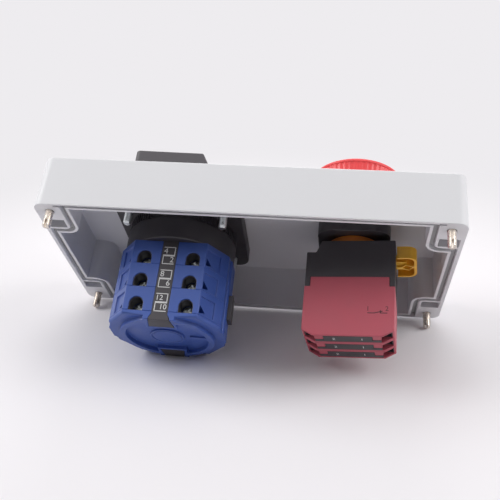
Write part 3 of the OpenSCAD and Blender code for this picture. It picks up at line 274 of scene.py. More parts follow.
def screw_places(node, space):
    """The axes of four like screws set in a rectangle, and their common radius."""
    high = span(node, space)[1]
    across = [p.x for p in points_of(node, space) if p.x > 0 and p.y > 0]
    half = (max(across) - min(across)) / 2
    return high.x - half, high.y - half, half


def rectangle(x, y):
    """The four corners of a rectangle round the axis."""
    return [(sx * x, sy * y, 0) for sx in SIDES for sy in SIDES]


def box_mesh(low, high):
    """A box between two corners."""
    bm = bmesh.new()
    bmesh.ops.create_cube(bm, size=1)
    low, high = Vector(low), Vector(high)
    bmesh.ops.scale(bm, vec=high - low, verts=bm.verts)
    bmesh.ops.translate(bm, vec=(low + high) / 2, verts=bm.verts)
    return bm


def prism(outline, low, high):
    """An outline in XY, raised from low to high."""
    bm = bmesh.new()
    face = bm.faces.new([bm.verts.new((x, y, low)) for x, y in outline])
    grown = bmesh.ops.extrude_face_region(bm, geom=[face])["geom"]
    raised = [v for v in grown if isinstance(v, bmesh.types.BMVert)]
    bmesh.ops.translate(bm, vec=(0, 0, high - low), verts=raised)
    bmesh.ops.recalc_face_normals(bm, faces=bm.faces)
    return bm


def lathe(profile, steps=64, closed=False):
    """A profile of (radius, height) points turned about Z. A closed one makes a ring."""
    bm = bmesh.new()
    verts = [bm.verts.new((r, 0, z)) for r, z in profile]
    ends = verts[1:] + verts[:1] if closed else verts[1:]
    edges = [bm.edges.new(pair) for pair in zip(verts, ends)]
    bmesh.ops.spin(
        bm, geom=verts + edges, cent=(0, 0, 0), axis=(0, 0, 1), angle=2 * pi, steps=steps,
        use_merge=True,
    )
    bmesh.ops.remove_doubles(bm, verts=bm.verts, dist=SAME)
    bmesh.ops.recalc_face_normals(bm, faces=bm.faces)
    return bm


def cap_ends(bm):
    """Closes every open rim of a mesh and turns its faces outwards."""
    bmesh.ops.holes_fill(bm, edges=[e for e in bm.edges if e.is_boundary], sides=0)
    bmesh.ops.recalc_face_normals(bm, faces=bm.faces)


def thread(radius, pitch, low, high, steps=24):
    """A rod with a real helical thread, cut square at both ends."""
    bm = bmesh.new()
    root, crest_low, crest_high = radius - 0.6 * pitch, 0.42 * pitch, 0.58 * pitch
    points = []
    for i in range(ceil((high - low) / pitch) + 2):
        base = low + (i - 1) * pitch
        points += [(root, base), (radius, base + crest_low), (radius, base + crest_high)]
    verts = [bm.verts.new((r, 0, z)) for r, z in points]
    edges = [bm.edges.new(pair) for pair in zip(verts, verts[1:])]
    bmesh.ops.spin(
        bm, geom=verts + edges, cent=(0, 0, 0), axis=(0, 0, 1), angle=2 * pi, steps=steps,
        dvec=(0, 0, pitch / steps),
    )
    bmesh.ops.remove_doubles(bm, verts=bm.verts, dist=SAME)
    for height, side in ((low, -1), (high, 1)):
        bmesh.ops.bisect_plane(
            bm, geom=bm.verts[:] + bm.edges[:] + bm.faces[:], plane_co=(0, 0, height),
            plane_no=(0, 0, side), clear_outer=True,
        )
    cap_ends(bm)
    return bm


def tipped(bm, radius, low, chamfer):
    """Narrows the low end of a rod towards its tip, as a chamfer does."""
    for v in bm.verts:
        spread = Vector((v.co.x, v.co.y)).length
        limit = radius - max(0.0, low + chamfer - v.co.z)
        if spread > limit:
            v.co.x *= limit / spread
            v.co.y *= limit / spread
    return bm


def coil(radius, wire, low, high, turns, steps=14, sides=6):
    """A spring of round wire whose outside is radius wide."""
    bm = bmesh.new()
    ring = bmesh.ops.create_circle(bm, segments=sides, radius=wire)["verts"]
    bmesh.ops.rotate(bm, verts=ring, cent=(0, 0, 0), matrix=Matrix.Rotation(pi / 2, 3, "X"))
    bmesh.ops.translate(bm, verts=ring, vec=(radius - wire, 0, low + wire))
    count = steps * turns
    rise = (high - low - 2 * wire) / count
    bmesh.ops.spin(
        bm, geom=bm.verts[:] + bm.edges[:], cent=(0, 0, 0), axis=(0, 0, 1),
        angle=2 * pi * turns, steps=count, dvec=(0, 0, rise),
    )
    bmesh.ops.remove_doubles(bm, verts=bm.verts, dist=0.0001 * MM)
    cap_ends(bm)
    return bm


def softened(node, space):
    """A copy of a CAD node's mesh in a space, with its loose corners and flat seams joined."""
    bm = bmesh.new()
    bm.from_mesh(frame["nodes"][node].data)
    bm.transform(space.inverted())
    bmesh.ops.remove_doubles(bm, verts=bm.verts, dist=CAD_SAME)
    bmesh.ops.dissolve_degenerate(bm, edges=bm.edges, dist=CAD_SAME)
    bmesh.ops.dissolve_limit(
        bm, angle_limit=FLAT, verts=bm.verts[:], edges=bm.edges[:],
        use_dissolve_boundaries=False,
    )
    return bm


def even_turns(count):
    """Even turns about Z, one for each of count places."""
    return [turned(2 * pi * i / count) for i in range(count)]


def put(bm, other, place=Matrix()):
    """Adds another mesh to bm, moved by a matrix."""
    other.transform(place)
    if place.determinant() < 0:
        bmesh.ops.reverse_faces(other, faces=other.faces)
    mesh = bpy.data.meshes.new("part")
    other.to_mesh(mesh)
    other.free()
    bm.from_mesh(mesh)
    bpy.data.meshes.remove(mesh)
    return bm


def copies(bm, places):
    """One mesh repeated at several places."""
    out = bmesh.new()
    for place in places:
        matrix = place if isinstance(place, Matrix) else Matrix.Translation(place)
        put(out, bm.copy(), matrix)
    bm.free()
    return out


def new_object(name, data):
    """A new object in the scene."""
    obj = bpy.data.objects.new(name, data)
    bpy.context.scene.collection.objects.link(obj)
    return obj


def mesh_object(name, bm):
    """A new object that holds a bmesh."""
    mesh = bpy.data.meshes.new(name)
    bm.to_mesh(mesh)
    bm.free()
    return new_object(name, mesh)


def carve(bm, cutters, operation="DIFFERENCE"):
    """Cuts one mesh with another, or joins them."""
    body, tool = mesh_object("body", bm), mesh_object("tool", cutters)
    cut = body.modifiers.new("cut", "BOOLEAN")
    cut.object = tool
    cut.operation = operation
    cut.solver = "EXACT"
    bpy.context.view_layer.update()
    shape = bpy.data.meshes.new_from_object(
        body.evaluated_get(bpy.context.evaluated_depsgraph_get())
    )
    out = bmesh.new()
    out.from_mesh(shape)
    for mesh in (body.data, tool.data, shape):
        bpy.data.meshes.remove(mesh)
    bmesh.ops.remove_doubles(out, verts=out.verts, dist=SAME)
    if not out.faces:
        raise RuntimeError("A cut left nothing of a piece")
    return out


def crossed(bm, reach, half, low, high):
    """Cuts a crossed slot about Z."""
    for x, y in ((reach, half), (half, reach)):
        bm = carve(bm, box_mesh((-x, -y, low), (x, y, high)))
    return bm


def crossed_screw(head_r, head_t, shank_r, shank_l):
    """A pan head screw that points down, its head standing on Z zero, with a crossed slot."""
    screw = lathe([(0, -shank_l), (shank_r - 0.3 * MM, -shank_l), (shank_r, 0.3 * MM - shank_l),
                   (shank_r, 0), (head_r, 0), (head_r, head_t * 0.45),
                   (head_r * 0.85, head_t * 0.85), (head_r * 0.5, head_t), (0, head_t)], 32)
    return crossed(screw, head_r * 0.7, head_r * 0.13, head_t * 0.45, head_t * 2)


def ribs(places, inner, outer, width, low, high):
    """Upright ribs between two radii, at turns about Z."""
    return copies(box_mesh((inner, -width / 2, low), (outer, width / 2, high)), places)


def round_edges(bm, edges, radius, segments, clamp=True):
    """Rounds edges in the mesh itself."""
    bmesh.ops.bevel(
        bm, geom=edges, offset=radius, offset_type="OFFSET", segments=segments, profile=0.5,
        affect="EDGES", material=-1, clamp_overlap=clamp,
    )


def passes(edge, points, reach):
    """Whether an edge comes within reach of one of the points."""
    a, b = (v.co for v in edge.verts)
    run = b - a
    for point in points:
        share = max(0.0, min(1.0, (point - a).dot(run) / run.length_squared))
        if (a + run * share - point).length < reach:
            return True
    return False


def eased(bm, edges, radius, segments=2):
    """Rounds edges, leaving out those round which the rounding would fold or shoot away."""
    shortest, furthest, reach, tries = 1.2 * radius, 0.6 * radius, 1.6 * radius, 12
    skin = BVHTree.FromBMesh(bm)
    bm.edges.index_update()
    picked = {e.index for e in edges if e.is_manifold and e.calc_length() > shortest}
    for _ in range(tries):
        trial = bm.copy()
        trial.edges.ensure_lookup_table()
        round_edges(trial, [trial.edges[i] for i in sorted(picked)], radius, segments, clamp=False)
        stray = {v for v in trial.verts if skin.find_nearest(v.co)[3] > furthest}
        if not stray:
            bm.free()
            return trial
        roots = [w.co.copy() for v in stray for e in v.link_edges
                 for w in [e.other_vert(v)] if w not in stray] + [v.co.copy() for v in stray]
        trial.free()
        bm.edges.ensure_lookup_table()
        kept = {i for i in picked if not passes(bm.edges[i], roots, reach)}
        if len(kept) == len(picked):
            break
        picked = kept
    return bm


def uprights(bm):
    """The edges that run along Z."""
    return [e for e in bm.edges if abs((e.verts[1].co - e.verts[0].co).normalized().z) > 0.99]


def corners(bm):
    """The edges where two faces meet at a corner."""
    return [e for e in bm.edges if e.is_manifold and e.calc_face_angle() > CORNER]


def figures(words, height, thick):
    """Printed figures as a thin mesh in XY, centred on the origin and standing on Z zero."""
    curve = bpy.data.curves.new("figures", "FONT")
    curve.body = words
    curve.size = height / FIGURE_SHARE
    curve.align_x = "CENTER"
    curve.align_y = "CENTER"
    curve.extrude = thick / 2
    curve.resolution_u = 3
    obj = bpy.data.objects.new("figures", curve)
    mesh = bpy.data.meshes.new_from_object(obj)
    bm = bmesh.new()
    bm.from_mesh(mesh)
    bpy.data.objects.remove(obj)
    bpy.data.curves.remove(curve)
    bpy.data.meshes.remove(mesh)
    bmesh.ops.remove_doubles(bm, verts=bm.verts, dist=0.0005 * MM)
    bmesh.ops.translate(bm, verts=bm.verts, vec=(0, 0, thick / 2))
    return bm


def line(a, b, width, thick):
    """A printed line between two points in XY."""
    a, b = Vector(a), Vector(b)
    run = b - a
    bm = box_mesh((-width / 2, -width / 2, 0), (run.length + width / 2, width / 2, thick))
    turn = turned(run.angle_signed(Vector((1, 0))))
    bm.transform(moved(a.x, a.y) @ turn)
    return bm


def lines(pairs, width, thick):
    """Printed lines between pairs of points."""
    bm = bmesh.new()
    for a, b in pairs:
        put(bm, line(a, b, width, thick))
    return bm


def piece(bm, name, space, material, nodes=(), like=None, edge=0.0, segments=2):
    """Makes an object of a mesh, sets it on the body of the nodes that it stands for or is like,
    and rounds its edges."""
    node = nodes[0] if nodes else like
    if edge:
        bm = eased(bm, corners(bm), edge, segments)
    bm.transform(space)
    obj = mesh_object(name, bm)
    obj.data.materials.append(material)
    obj.data.shade_smooth()
    obj.data.set_sharp_from_angle(angle=SHARP)
    weigh = obj.modifiers.new("normals", "WEIGHTED_NORMAL")
    weigh.keep_sharp = True
    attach(obj, frame["nodes"][node]["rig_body"])
    if nodes:
        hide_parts(*nodes)
    return obj


def dress(node, name, space, material, edge, segments=2):
    """Stands in for a CAD node with its own shape, its edges rounded."""
    return piece(softened(node, space), name, space, material, [node], edge=edge,
                 segments=segments)


def carry(material, *nodes):
    """Gives CAD nodes that stay as they are their finish."""
    for node in nodes:
        mesh = frame["nodes"][node].data
        mesh.materials.clear()
        mesh.materials.append(material)


# Finishes. Most of their grains are a few hundredths of a millimetre on the real material. They
# are drawn as coarse as they need to show in the render.


def add(tree, kind, inputs=None, **settings):
    """Adds a node with its settings. An input is a value or another node's output."""
    node = tree.nodes.new(kind)
    for key, value in settings.items():
        setattr(node, key, value)
    for key, value in (inputs or {}).items():
        if isinstance(value, bpy.types.NodeSocket):
            tree.links.new(value, node.inputs[key])
        else:
            node.inputs[key].default_value = value
    return node


def shade(tone, share):
    """A colour made lighter or darker by a share."""
    return (*[min(1.0, v * (1 + share)) for v in tone[:3]], 1.0)


def surface(name, tone, roughness, shift, cloud, grain, relief, stretch=(1, 1, 1), **sockets):
    """A shader whose colour and roughness drift over cloud millimetres, with a fine relief of
    relief millimetres every grain millimetres, drawn out along an axis by stretch."""
    mat = bpy.data.materials.get(name)
    if mat:
        return mat
    mat = bpy.data.materials.new(name)
    mat.use_nodes = True
    tree = mat.node_tree
    tree.nodes.clear()
    place = add(tree, "ShaderNodeTexCoord").outputs["Object"]
    drawn = add(tree, "ShaderNodeMapping", {"Vector": place, "Scale": stretch}).outputs[0]
    drift = add(tree, "ShaderNodeTexNoise", {
        "Vector": place, "Scale": 1 / (cloud * MM), "Detail": 4.0}).outputs[0]
    fine = add(tree, "ShaderNodeTexNoise", {
        "Vector": drawn, "Scale": 1 / (grain * MM), "Detail": 2.0}).outputs[0]
    mixed = add(tree, "ShaderNodeMix", {
        0: drift, 6: shade(tone, -shift), 7: shade(tone, shift)}, data_type="RGBA").outputs[2]
    rough = add(tree, "ShaderNodeMapRange", {
        "Value": drift, "From Min": 0.3, "From Max": 0.7,
        "To Min": roughness * 0.85, "To Max": min(1.0, roughness * 1.15)}).outputs[0]
    bump = add(tree, "ShaderNodeBump", {
        "Height": fine, "Distance": relief * MM, "Strength": 1.0}).outputs[0]
    shader = add(tree, "ShaderNodeBsdfPrincipled", {
        "Base Color": mixed, "Roughness": rough, "Normal": bump, **sockets})
    add(tree, "ShaderNodeOutputMaterial", {"Surface": shader.outputs[0]})
    return mat


def finishes():
    """The colours that a user may have changed."""
    return bpy.context.scene.finishes


def moulded_abs():
    """Light grey ABS: an even matt skin with a fine spark-eroded grain."""
    return surface("moulded_abs", finishes().lid, 0.42, 0.012, 25, 0.5, 0.012)


def foam_rubber():
    """Foam rubber: dull, with open cells that show as a coarse grain."""
    return surface("foam_rubber", finishes().gasket, 0.85, 0.10, 6, 0.45, 0.09)


def nickel_plate():
    """Nickel plate on steel: a warm, slightly yellow metal, bright with soft stains."""
    return surface("nickel_plate", finishes().nickel, 0.26, 0.08, 3, 0.4, 0.006, Metallic=1.0)


def zinc_plate():
    """Zinc plate on steel: cooler and greyer than nickel, a little cloudy."""
    return surface("zinc_plate", finishes().zinc, 0.30, 0.10, 2.5, 0.35, 0.006, Metallic=1.0)


def turned_steel():
    """Machined steel: plain grey with fine tool marks across its length."""
    return surface("turned_steel", finishes().steel, 0.34, 0.06, 6, 0.9, 0.01,
                   stretch=(0.2, 0.2, 4), Metallic=1.0)


def spring_steel():
    """Drawn spring wire: bright and darker than plate, with draw marks."""
    return surface("spring_steel", shade(finishes().steel, -0.25), 0.28, 0.06, 2, 0.3, 0.004,
                   Metallic=1.0)


def brushed_aluminium():
    """Brushed aluminium: pale and soft, with hairlines all one way."""
    return surface("brushed_aluminium", shade(finishes().zinc, 0.1), 0.36, 0.03, 15, 0.25, 0.01,
                   stretch=(0.03, 1, 1), Metallic=1.0)


def stamped_brass():
    """Stamped brass strip: warm yellow with faint tarnish."""
    return surface("stamped_brass", finishes().brass, 0.32, 0.12, 4, 0.4, 0.006, Metallic=1.0)


def tinned_brass():
    """Tinned brass plate: a dull grey skin that smears where screws were turned."""
    return surface("tinned_brass", finishes().tin, 0.42, 0.12, 3, 0.4, 0.008, Metallic=1.0)


def black_nylon():
    """Glass-filled black nylon: satin, with a cloudy bloom from the fibres."""
    return surface("black_nylon", finishes().black, 0.46, 0.16, 9, 0.6, 0.02)


def knob_nylon():
    """Dark grey nylon of the knob: satin with a fine grain for grip."""
    return surface("knob_nylon", finishes().knob, 0.5, 0.06, 12, 0.5, 0.03)


def blue_polyamide():
    """Blue polyamide: satin and a little waxy, with flow clouds from the mould."""
    return surface("blue_polyamide", finishes().blue, 0.40, 0.07, 11, 0.7, 0.02)


def pink_polyester():
    """Pink glass-filled polyester: matt, dusty and slightly speckled."""
    return surface("pink_polyester", finishes().pink, 0.5, 0.06, 7, 0.5, 0.025)


def yellow_acetal():
    """Yellow acetal: waxy and smooth, a little deeper where it is thick."""
    return surface("yellow_acetal", finishes().yellow, 0.36, 0.08, 5, 0.8, 0.02)


def amber_acetal():
    """The same yellow acetal, painted deeper and more orange: painted shade for the locking ring,
    which sits in shade.
    """
    return surface("amber_acetal", finishes().yellow_in_shade, 0.36, 0.08, 5, 0.8, 0.02)


def red_abs():
    """Red ABS of the stop's head: semi-gloss with a very light grain."""
    return surface("red_abs", finishes().red, 0.32, 0.05, 14, 0.6, 0.01)


def natural_acetal():
    """Undyed acetal: milky white and smooth."""
    return surface("natural_acetal", finishes().natural, 0.4, 0.03, 5, 0.8, 0.01)


def white_ink():
    """Pad-printed white ink: matt and a little uneven."""
    return surface("white_ink", finishes().ink, 0.6, 0.10, 1.2, 0.3, 0.01)


def dark_ink():
    """Pad-printed dark ink: matt, thin enough to vary in strength."""
    return surface("dark_ink", finishes().dark_ink, 0.6, 0.15, 1.2, 0.3, 0.01)


def seen_rays(tree):
    """One for rays that show the background: straight to the camera, mirrored or through glass."""
    path = add(tree, "ShaderNodeLightPath").outputs
    both = add(tree, "ShaderNodeMath", {
        0: path["Is Camera Ray"], 1: path["Is Glossy Ray"]}, operation="ADD").outputs[0]
    return add(tree, "ShaderNodeMath", {
        0: both, 1: path["Is Transmission Ray"]}, operation="ADD", use_clamp=True).outputs[0]


def matt_paper():
    """Matt backdrop paper: even and dull. Away from the object it is seen in its plain colour."""
    mat = surface("matt_paper", finishes().floor, 0.8, 0.004, 200, 1.5, 0.01)
    tree = mat.node_tree
    out = next(n for n in tree.nodes if n.type == "OUTPUT_MATERIAL")
    paper = next(n for n in tree.nodes if n.type == "BSDF_PRINCIPLED")
    place = next(n for n in tree.nodes if n.type == "TEX_COORD").outputs["Object"]
    away = add(tree, "ShaderNodeVectorMath", {0: place}, operation="LENGTH").outputs["Value"]
    far = add(tree, "ShaderNodeMapRange", {
        "Value": away, "From Min": PAPER_NEAR, "From Max": PAPER_FAR},
        interpolation_type="SMOOTHSTEP").outputs[0]
    share = add(tree, "ShaderNodeMath", {
        0: far, 1: seen_rays(tree)}, operation="MULTIPLY").outputs[0]
    plain = add(tree, "ShaderNodeEmission", {"Color": hexa(BACKDROP), "Strength": 1.0}).outputs[0]
    mixed = add(tree, "ShaderNodeMixShader", {0: share, 1: paper.outputs[0], 2: plain})
    tree.links.new(mixed.outputs[0], out.inputs["Surface"])
    return mat


# The lid


class SWITCHLID_OT_lid(bpy.types.Operator):
    """The moulded lid with rounded ridges, and the foam gasket between them"""

    bl_idname = "switchlid.lid"
    bl_label = "Lid and gasket"

    def execute(self, context):
        sizes = context.scene.lid_sizes
        dress("cover", "lid_shell", LID, moulded_abs(), sizes.edge, 3)
        dress("cover_gasket", "lid_gasket", LID, foam_rubber(), sizes.gasket_edge)
        return {"FINISHED"}


class SWITCHLID_OT_lid_screws(bpy.types.Operator):
    """Four captive lid screws with a real thread, a cutting flute in the tip and a crossed head"""

    bl_idname = "switchlid.lid_screws"
    bl_label = "Lid screws"

    def execute(self, context):
        sizes = context.scene.lid_sizes
        low, high = span("cover_screws", LID)
        x, y, head = screw_places("cover_screws", LID)
        thread_r, neck_r, head_t = 2.0 * MM, 1.7 * MM, 2.8 * MM
        tip, nick, ease = 0.5 * MM, 0.2 * MM, 0.6 * MM
        screw = tipped(thread(thread_r, sizes.thread_pitch, low.z, 0.0), thread_r, low.z, tip)
        flute = sizes.flute / 2
        screw = carve(screw, box_mesh((-flute, -thread_r, low.z - head), (flute, 0, low.z + head)))
        base = high.z - head_t
        shank = lathe([(0, -nick), (neck_r, -nick), (neck_r, base), (head - nick, base),
                       (head, base + nick), (head, high.z - ease), (head - ease, high.z),
                       (0, high.z)], 40)
        shank = crossed(shank, 2.2 * MM, 0.45 * MM, base + head_t / 2, high.z + PAST)
        four = copies(put(screw, shank), rectangle(x, y))
        piece(four, "lid_screws", LID, nickel_plate(), ["cover_screws"])
        return {"FINISHED"}


# The reversing switch in front of the lid


class SWITCHLID_OT_front_plate(bpy.types.Operator):
    """The square front plate, its seal and the brushed dial with its numbers"""

    bl_idname = "switchlid.front_plate"
    bl_label = "Front plate and dial"

    def execute(self, context):
        sizes = context.scene.switch_sizes
        dress("panel_seal", "front_seal", SWITCH, foam_rubber(), FINE)
        dress("bezel_frame", "front_frame", SWITCH, black_nylon(), 0.6 * MM, 3)
        dress("dial_plate", "dial", SWITCH, brushed_aluminium(), 0.08 * MM)
        high = span("dial_plate", SWITCH)[1]
        marks = bmesh.new()
        tick_start, tick_end = 8.0 * MM, 4.6 * MM
        reach = high.x - 4.6 * MM
        for turn, digit in ((-1, "2"), (0, "0"), (1, "1")):
            # The pointer stands to the left, so the dial is read with its left side up
            spin = turned(pi / 2 - turn * sizes.step_angle)
            out = moved(y=reach)
            upright = turned(turn * sizes.step_angle)
            put(marks, figures(digit, sizes.dial_digit, sizes.ink), spin @ out @ upright)
            tick = line((0, reach - tick_start), (0, reach - tick_end), 0.8 * MM, sizes.ink)
            put(marks, tick, spin)
        place = SWITCH @ moved(z=high.z - SINK)
        piece(marks, "dial_numbers", place, dark_ink(), like="dial_plate")
        return {"FINISHED"}


class SWITCHLID_OT_panel_bolts(bpy.types.Operator):
    """Four zinc plated bolts that hold the switch to the lid"""

    bl_idname = "switchlid.panel_bolts"
    bl_label = "Panel bolts"

    def execute(self, context):
        sizes = context.scene.lid_sizes
        low, high = span("mounting_screws", SWITCH)
        x, y, head = screw_places("mounting_screws", SWITCH)
        bolt_r, head_t, tip = 2.0 * MM, 2.4 * MM, 0.6 * MM
        bolt = thread(bolt_r, sizes.thread_pitch, low.z, high.z - head_t)
        bolt = tipped(bolt, bolt_r, low.z, tip)
        cap = lathe([(0, high.z - head_t), (head, high.z - head_t), (head, high.z - 1.2 * MM),
                     (head * 0.8, high.z - 0.3 * MM), (head * 0.4, high.z), (0, high.z)], 40)
        four = copies(put(bolt, cap), rectangle(x, y))
        piece(four, "panel_bolts", SWITCH, zinc_plate(), ["mounting_screws"])
        return {"FINISHED"}


class SWITCHLID_OT_knob(bpy.types.Operator):
    """The pointer knob with its soft edges, ribbed skirt, white line, screw and cap"""

    bl_idname = "switchlid.knob"
    bl_label = "Knob"

    def execute(self, context):
        sizes = context.scene.switch_sizes
        low, high = span("knob", SWITCH)
        dress("knob", "pointer_knob", SWITCH, knob_nylon(), sizes.knob_edge, 4)
        skirt = 21.0 * MM
        grips = ribs(even_turns(60), skirt - 0.6 * MM, skirt - 0.02 * MM, 0.7 * MM,
                     low.z + 0.8 * MM, low.z + 5.0 * MM)
        piece(grips, "knob_ribs", SWITCH, knob_nylon(), like="knob")
        pointer = line((low.x + 2.5 * MM, 0), (low.x + 15 * MM, 0), 1.6 * MM, sizes.ink)
        place = SWITCH @ moved(z=high.z - 2 * SINK)
        piece(pointer, "knob_line", place, white_ink(), like="knob")
        dress("knob_cap", "knob_plug", SWITCH, knob_nylon(), 0.3 * MM)
        carry(zinc_plate(), "knob_screw")
        return {"FINISHED"}


# The reversing switch behind the lid


class SWITCHLID_OT_latch_housing(bpy.types.Operator):
    """The black square plate with the round latch housing under it"""

    bl_idname = "switchlid.latch_housing"
    bl_label = "Latch housing"

    def execute(self, context):
        sizes = context.scene.switch_sizes
        low, high = span("latch_housing", SWITCH)
        round_r, bore_r, shaft_r = 28.0 * MM, 19.5 * MM, 5.1 * MM
        bore_z = low.z + 14.8 * MM
        plate_z = high.z - sizes.plate_depth
        plate = box_mesh((low.x, low.y, plate_z), (high.x, high.y, high.z))
        round_edges(plate, uprights(plate), sizes.plate_corner, 8)
        round_edges(plate, corners(plate), 0.7 * MM, 3)
        band_z = low.z + 11.5 * MM
        upper_r, top_r = round_r - sizes.step, round_r - 0.1 * MM
        ease, rounding = 0.4 * MM, 0.12 * MM
        body = lathe([
            (0, low.z), (round_r - ease, low.z), (round_r, low.z + ease), (round_r, band_z),
            (upper_r, band_z + 0.8 * MM), (upper_r, plate_z - 0.6 * MM),
            (top_r, plate_z - 0.05 * MM), (top_r, plate_z + PAST), (0, plate_z + PAST)], 128)
        housing = carve(plate, body, "UNION")
        bores = lathe([(0, low.z - PAST), (bore_r, low.z - PAST), (bore_r, bore_z),
                       (shaft_r, bore_z), (shaft_r, high.z + PAST), (0, high.z + PAST)])
        housing = carve(housing, bores)
        piece(housing, "latch_case", SWITCH, black_nylon(), ["latch_housing"], edge=rounding)
        # None under the label strips, where a turn's sine is near one
        places = [turn for turn in even_turns(96) if abs(turn[1][0]) <= 0.92]
        band = ribs(places, upper_r - 0.3 * MM, top_r, sizes.rib, band_z + 0.9 * MM,
                    plate_z - 0.5 * MM)
        piece(band, "latch_case_ribs", SWITCH, black_nylon(), like="latch_housing", edge=rounding)
        return {"FINISHED"}


class SWITCHLID_OT_latch(bpy.types.Operator):
    """The shaft, star wheel, sliders and springs inside the latch housing"""

    bl_idname = "switchlid.latch"
    bl_label = "Shaft and latch"

    def execute(self, context):
        dress("switch_shaft", "square_shaft", SWITCH, turned_steel(), FINE)
        dress("star_wheel", "latch_star", SWITCH, turned_steel(), FINE)
        dress("latch_sliders", "latch_slides", SWITCH, natural_acetal(), FINE)
        low, high = span("latch_springs", SWITCH)
        spring = coil(high.x, 0.35 * MM, high.y - 4.4 * MM, high.y, 4)
        lay = moved(z=(low.z + high.z) / 2) @ turned(-pi / 2, "X")
        two = copies(spring, [turn @ lay for turn in even_turns(2)])
        piece(two, "latch_coils", SWITCH, spring_steel(), ["latch_springs"])
        return {"FINISHED"}


class SWITCHLID_OT_stages(bpy.types.Operator):
    """The three blue contact stages"""

    bl_idname = "switchlid.stages"
    bl_label = "Contact stages"

    def execute(self, context):
        sizes = context.scene.switch_sizes
        for k in range(1, COUNT + 1):
            dress(f"stage_{k}", f"contact_stage_{k}", SWITCH, blue_polyamide(), sizes.edge, 3)
        return {"FINISHED"}


def d_outline(width, height, inset):
    """The outline of a terminal hole round the screw's axis: round above and flat below."""
    radius = width / 2 - inset
    up = height / 2 - width / 2
    steps = 20
    arch = [(radius * cos(a), up + radius * sin(a))
            for a in (pi * i / steps for i in range(steps + 1))]
    return [(-radius, inset - height / 2), (radius, inset - height / 2)] + arch


class SWITCHLID_OT_stage_contacts(bpy.types.Operator):
    """Cams, followers, contact strips, springs and terminal screws of the stages"""

    bl_idname = "switchlid.stage_contacts"
    bl_label = "Stage contacts"

    def execute(self, context):
        low, high = span("terminal_screws", SWITCH)
        head_r, head_t, shank_r, shank_l = 2.9 * MM, 2.4 * MM, 1.6 * MM, 2.6 * MM
        seat_y = high.y - head_t
        hole_x = high.x - head_r
        pitch = (high.z - low.z - 2 * head_r) / (COUNT - 1)
        places = []
        for k in range(COUNT):
            for sx in SIDES:
                out = moved(sx * hole_x, seat_y, high.z - head_r - k * pitch)
                tilt = turned(radians(20) * sx * (k - 1))
                places += [turn @ out @ turned(-pi / 2, "X") @ tilt for turn in even_turns(2)]
        screws = copies(crossed_screw(head_r, head_t, shank_r, shank_l), places)
        piece(screws, "terminal_screw_set", SWITCH, zinc_plate(), ["terminal_screws"])
        # Painted shade: black sleeves darken the terminal holes
        self.shade_sleeves(hole_x, seat_y + head_t, high.z - head_r, pitch)
        carry(black_nylon(), "cam_1", "cam_3")
        carry(knob_nylon(), "cam_2", "cam_followers")
        carry(stamped_brass(), "contact_bridges")
        carry(tinned_brass(), "terminals_1", "terminals_2", "terminals_3")
        low, high = span("contact_springs", SWITCH)
        spring_r, spring_l = 1.7 * MM, 6.9 * MM
        spring = coil(spring_r, 0.22 * MM, high.x - spring_l, high.x, 5)
        places = [turn @ moved(z=high.z - spring_r - k * pitch) @ turned(pi / 2, "Y")
                  for k in range(COUNT) for turn in even_turns(2)]
        piece(copies(spring, places), "contact_coils", SWITCH, spring_steel(), ["contact_springs"])
        return {"FINISHED"}

    def shade_sleeves(self, hole_x, floor_y, top_z, pitch):
        """Black sleeves in the terminal holes: painted shade, dark walls where the holes are only
        in shade, which make them look as deep as they are.
        """
        sizes = bpy.context.scene.switch_sizes
        mouth = span("stage_1", SWITCH)[1].y - 0.7 * MM
        gap, wall = 0.02 * MM, 0.3 * MM
        outside = d_outline(sizes.hole_width, sizes.hole_height, gap)
        inside = d_outline(sizes.hole_width, sizes.hole_height, wall)
        shade_sleeve = carve(prism(outside, floor_y, mouth), prism(inside, floor_y - PAST, mouth + PAST))
        places = [face @ moved(sx * hole_x, top_z - k * pitch)
                  for k in range(COUNT) for sx in SIDES for face in (NEAR_FACE, FAR_FACE)]
        piece(copies(shade_sleeve, places), "terminal_sleeves", SWITCH, black_nylon(), like="stage_1")


class SWITCHLID_OT_end_cap(bpy.types.Operator):
    """The blue end cap with its ring and disc, the tie bolts and the side tab"""

    bl_idname = "switchlid.end_cap"
    bl_label = "End cap"

    def execute(self, context):
        sizes = context.scene.switch_sizes
        high = span("end_cap", SWITCH)[1]
        cap = softened("end_cap", SWITCH)
        foot, within, inner_r = high.z - sizes.cap_plate, 0.05 * MM, 23.6 * MM
        rim = [e for e in corners(cap)
               if all(abs(v.co.z - foot) < within and v.co.xy.length > inner_r for v in e.verts)]
        cap = eased(cap, rim, sizes.cap_edge, 4)
        piece(cap, "stage_end_cap", SWITCH, blue_polyamide(), ["end_cap"],
              edge=sizes.edge, segments=3)
        dress("tie_bolts", "tie_bolt_pair", SWITCH, zinc_plate(), 0.1 * MM)
        dress("side_tab", "side_lug", SWITCH, black_nylon(), 0.25 * MM)
        return {"FINISHED"}


def half_box(width, height, side, stroke, thick):
    """A printed box that is open on one side, centred on the origin."""
    x, y = width / 2, height / 2
    return lines((((-x, y), (x, y)), ((-x, -y), (x, -y)), ((side * x, -y), (side * x, y))),
                 stroke, thick)


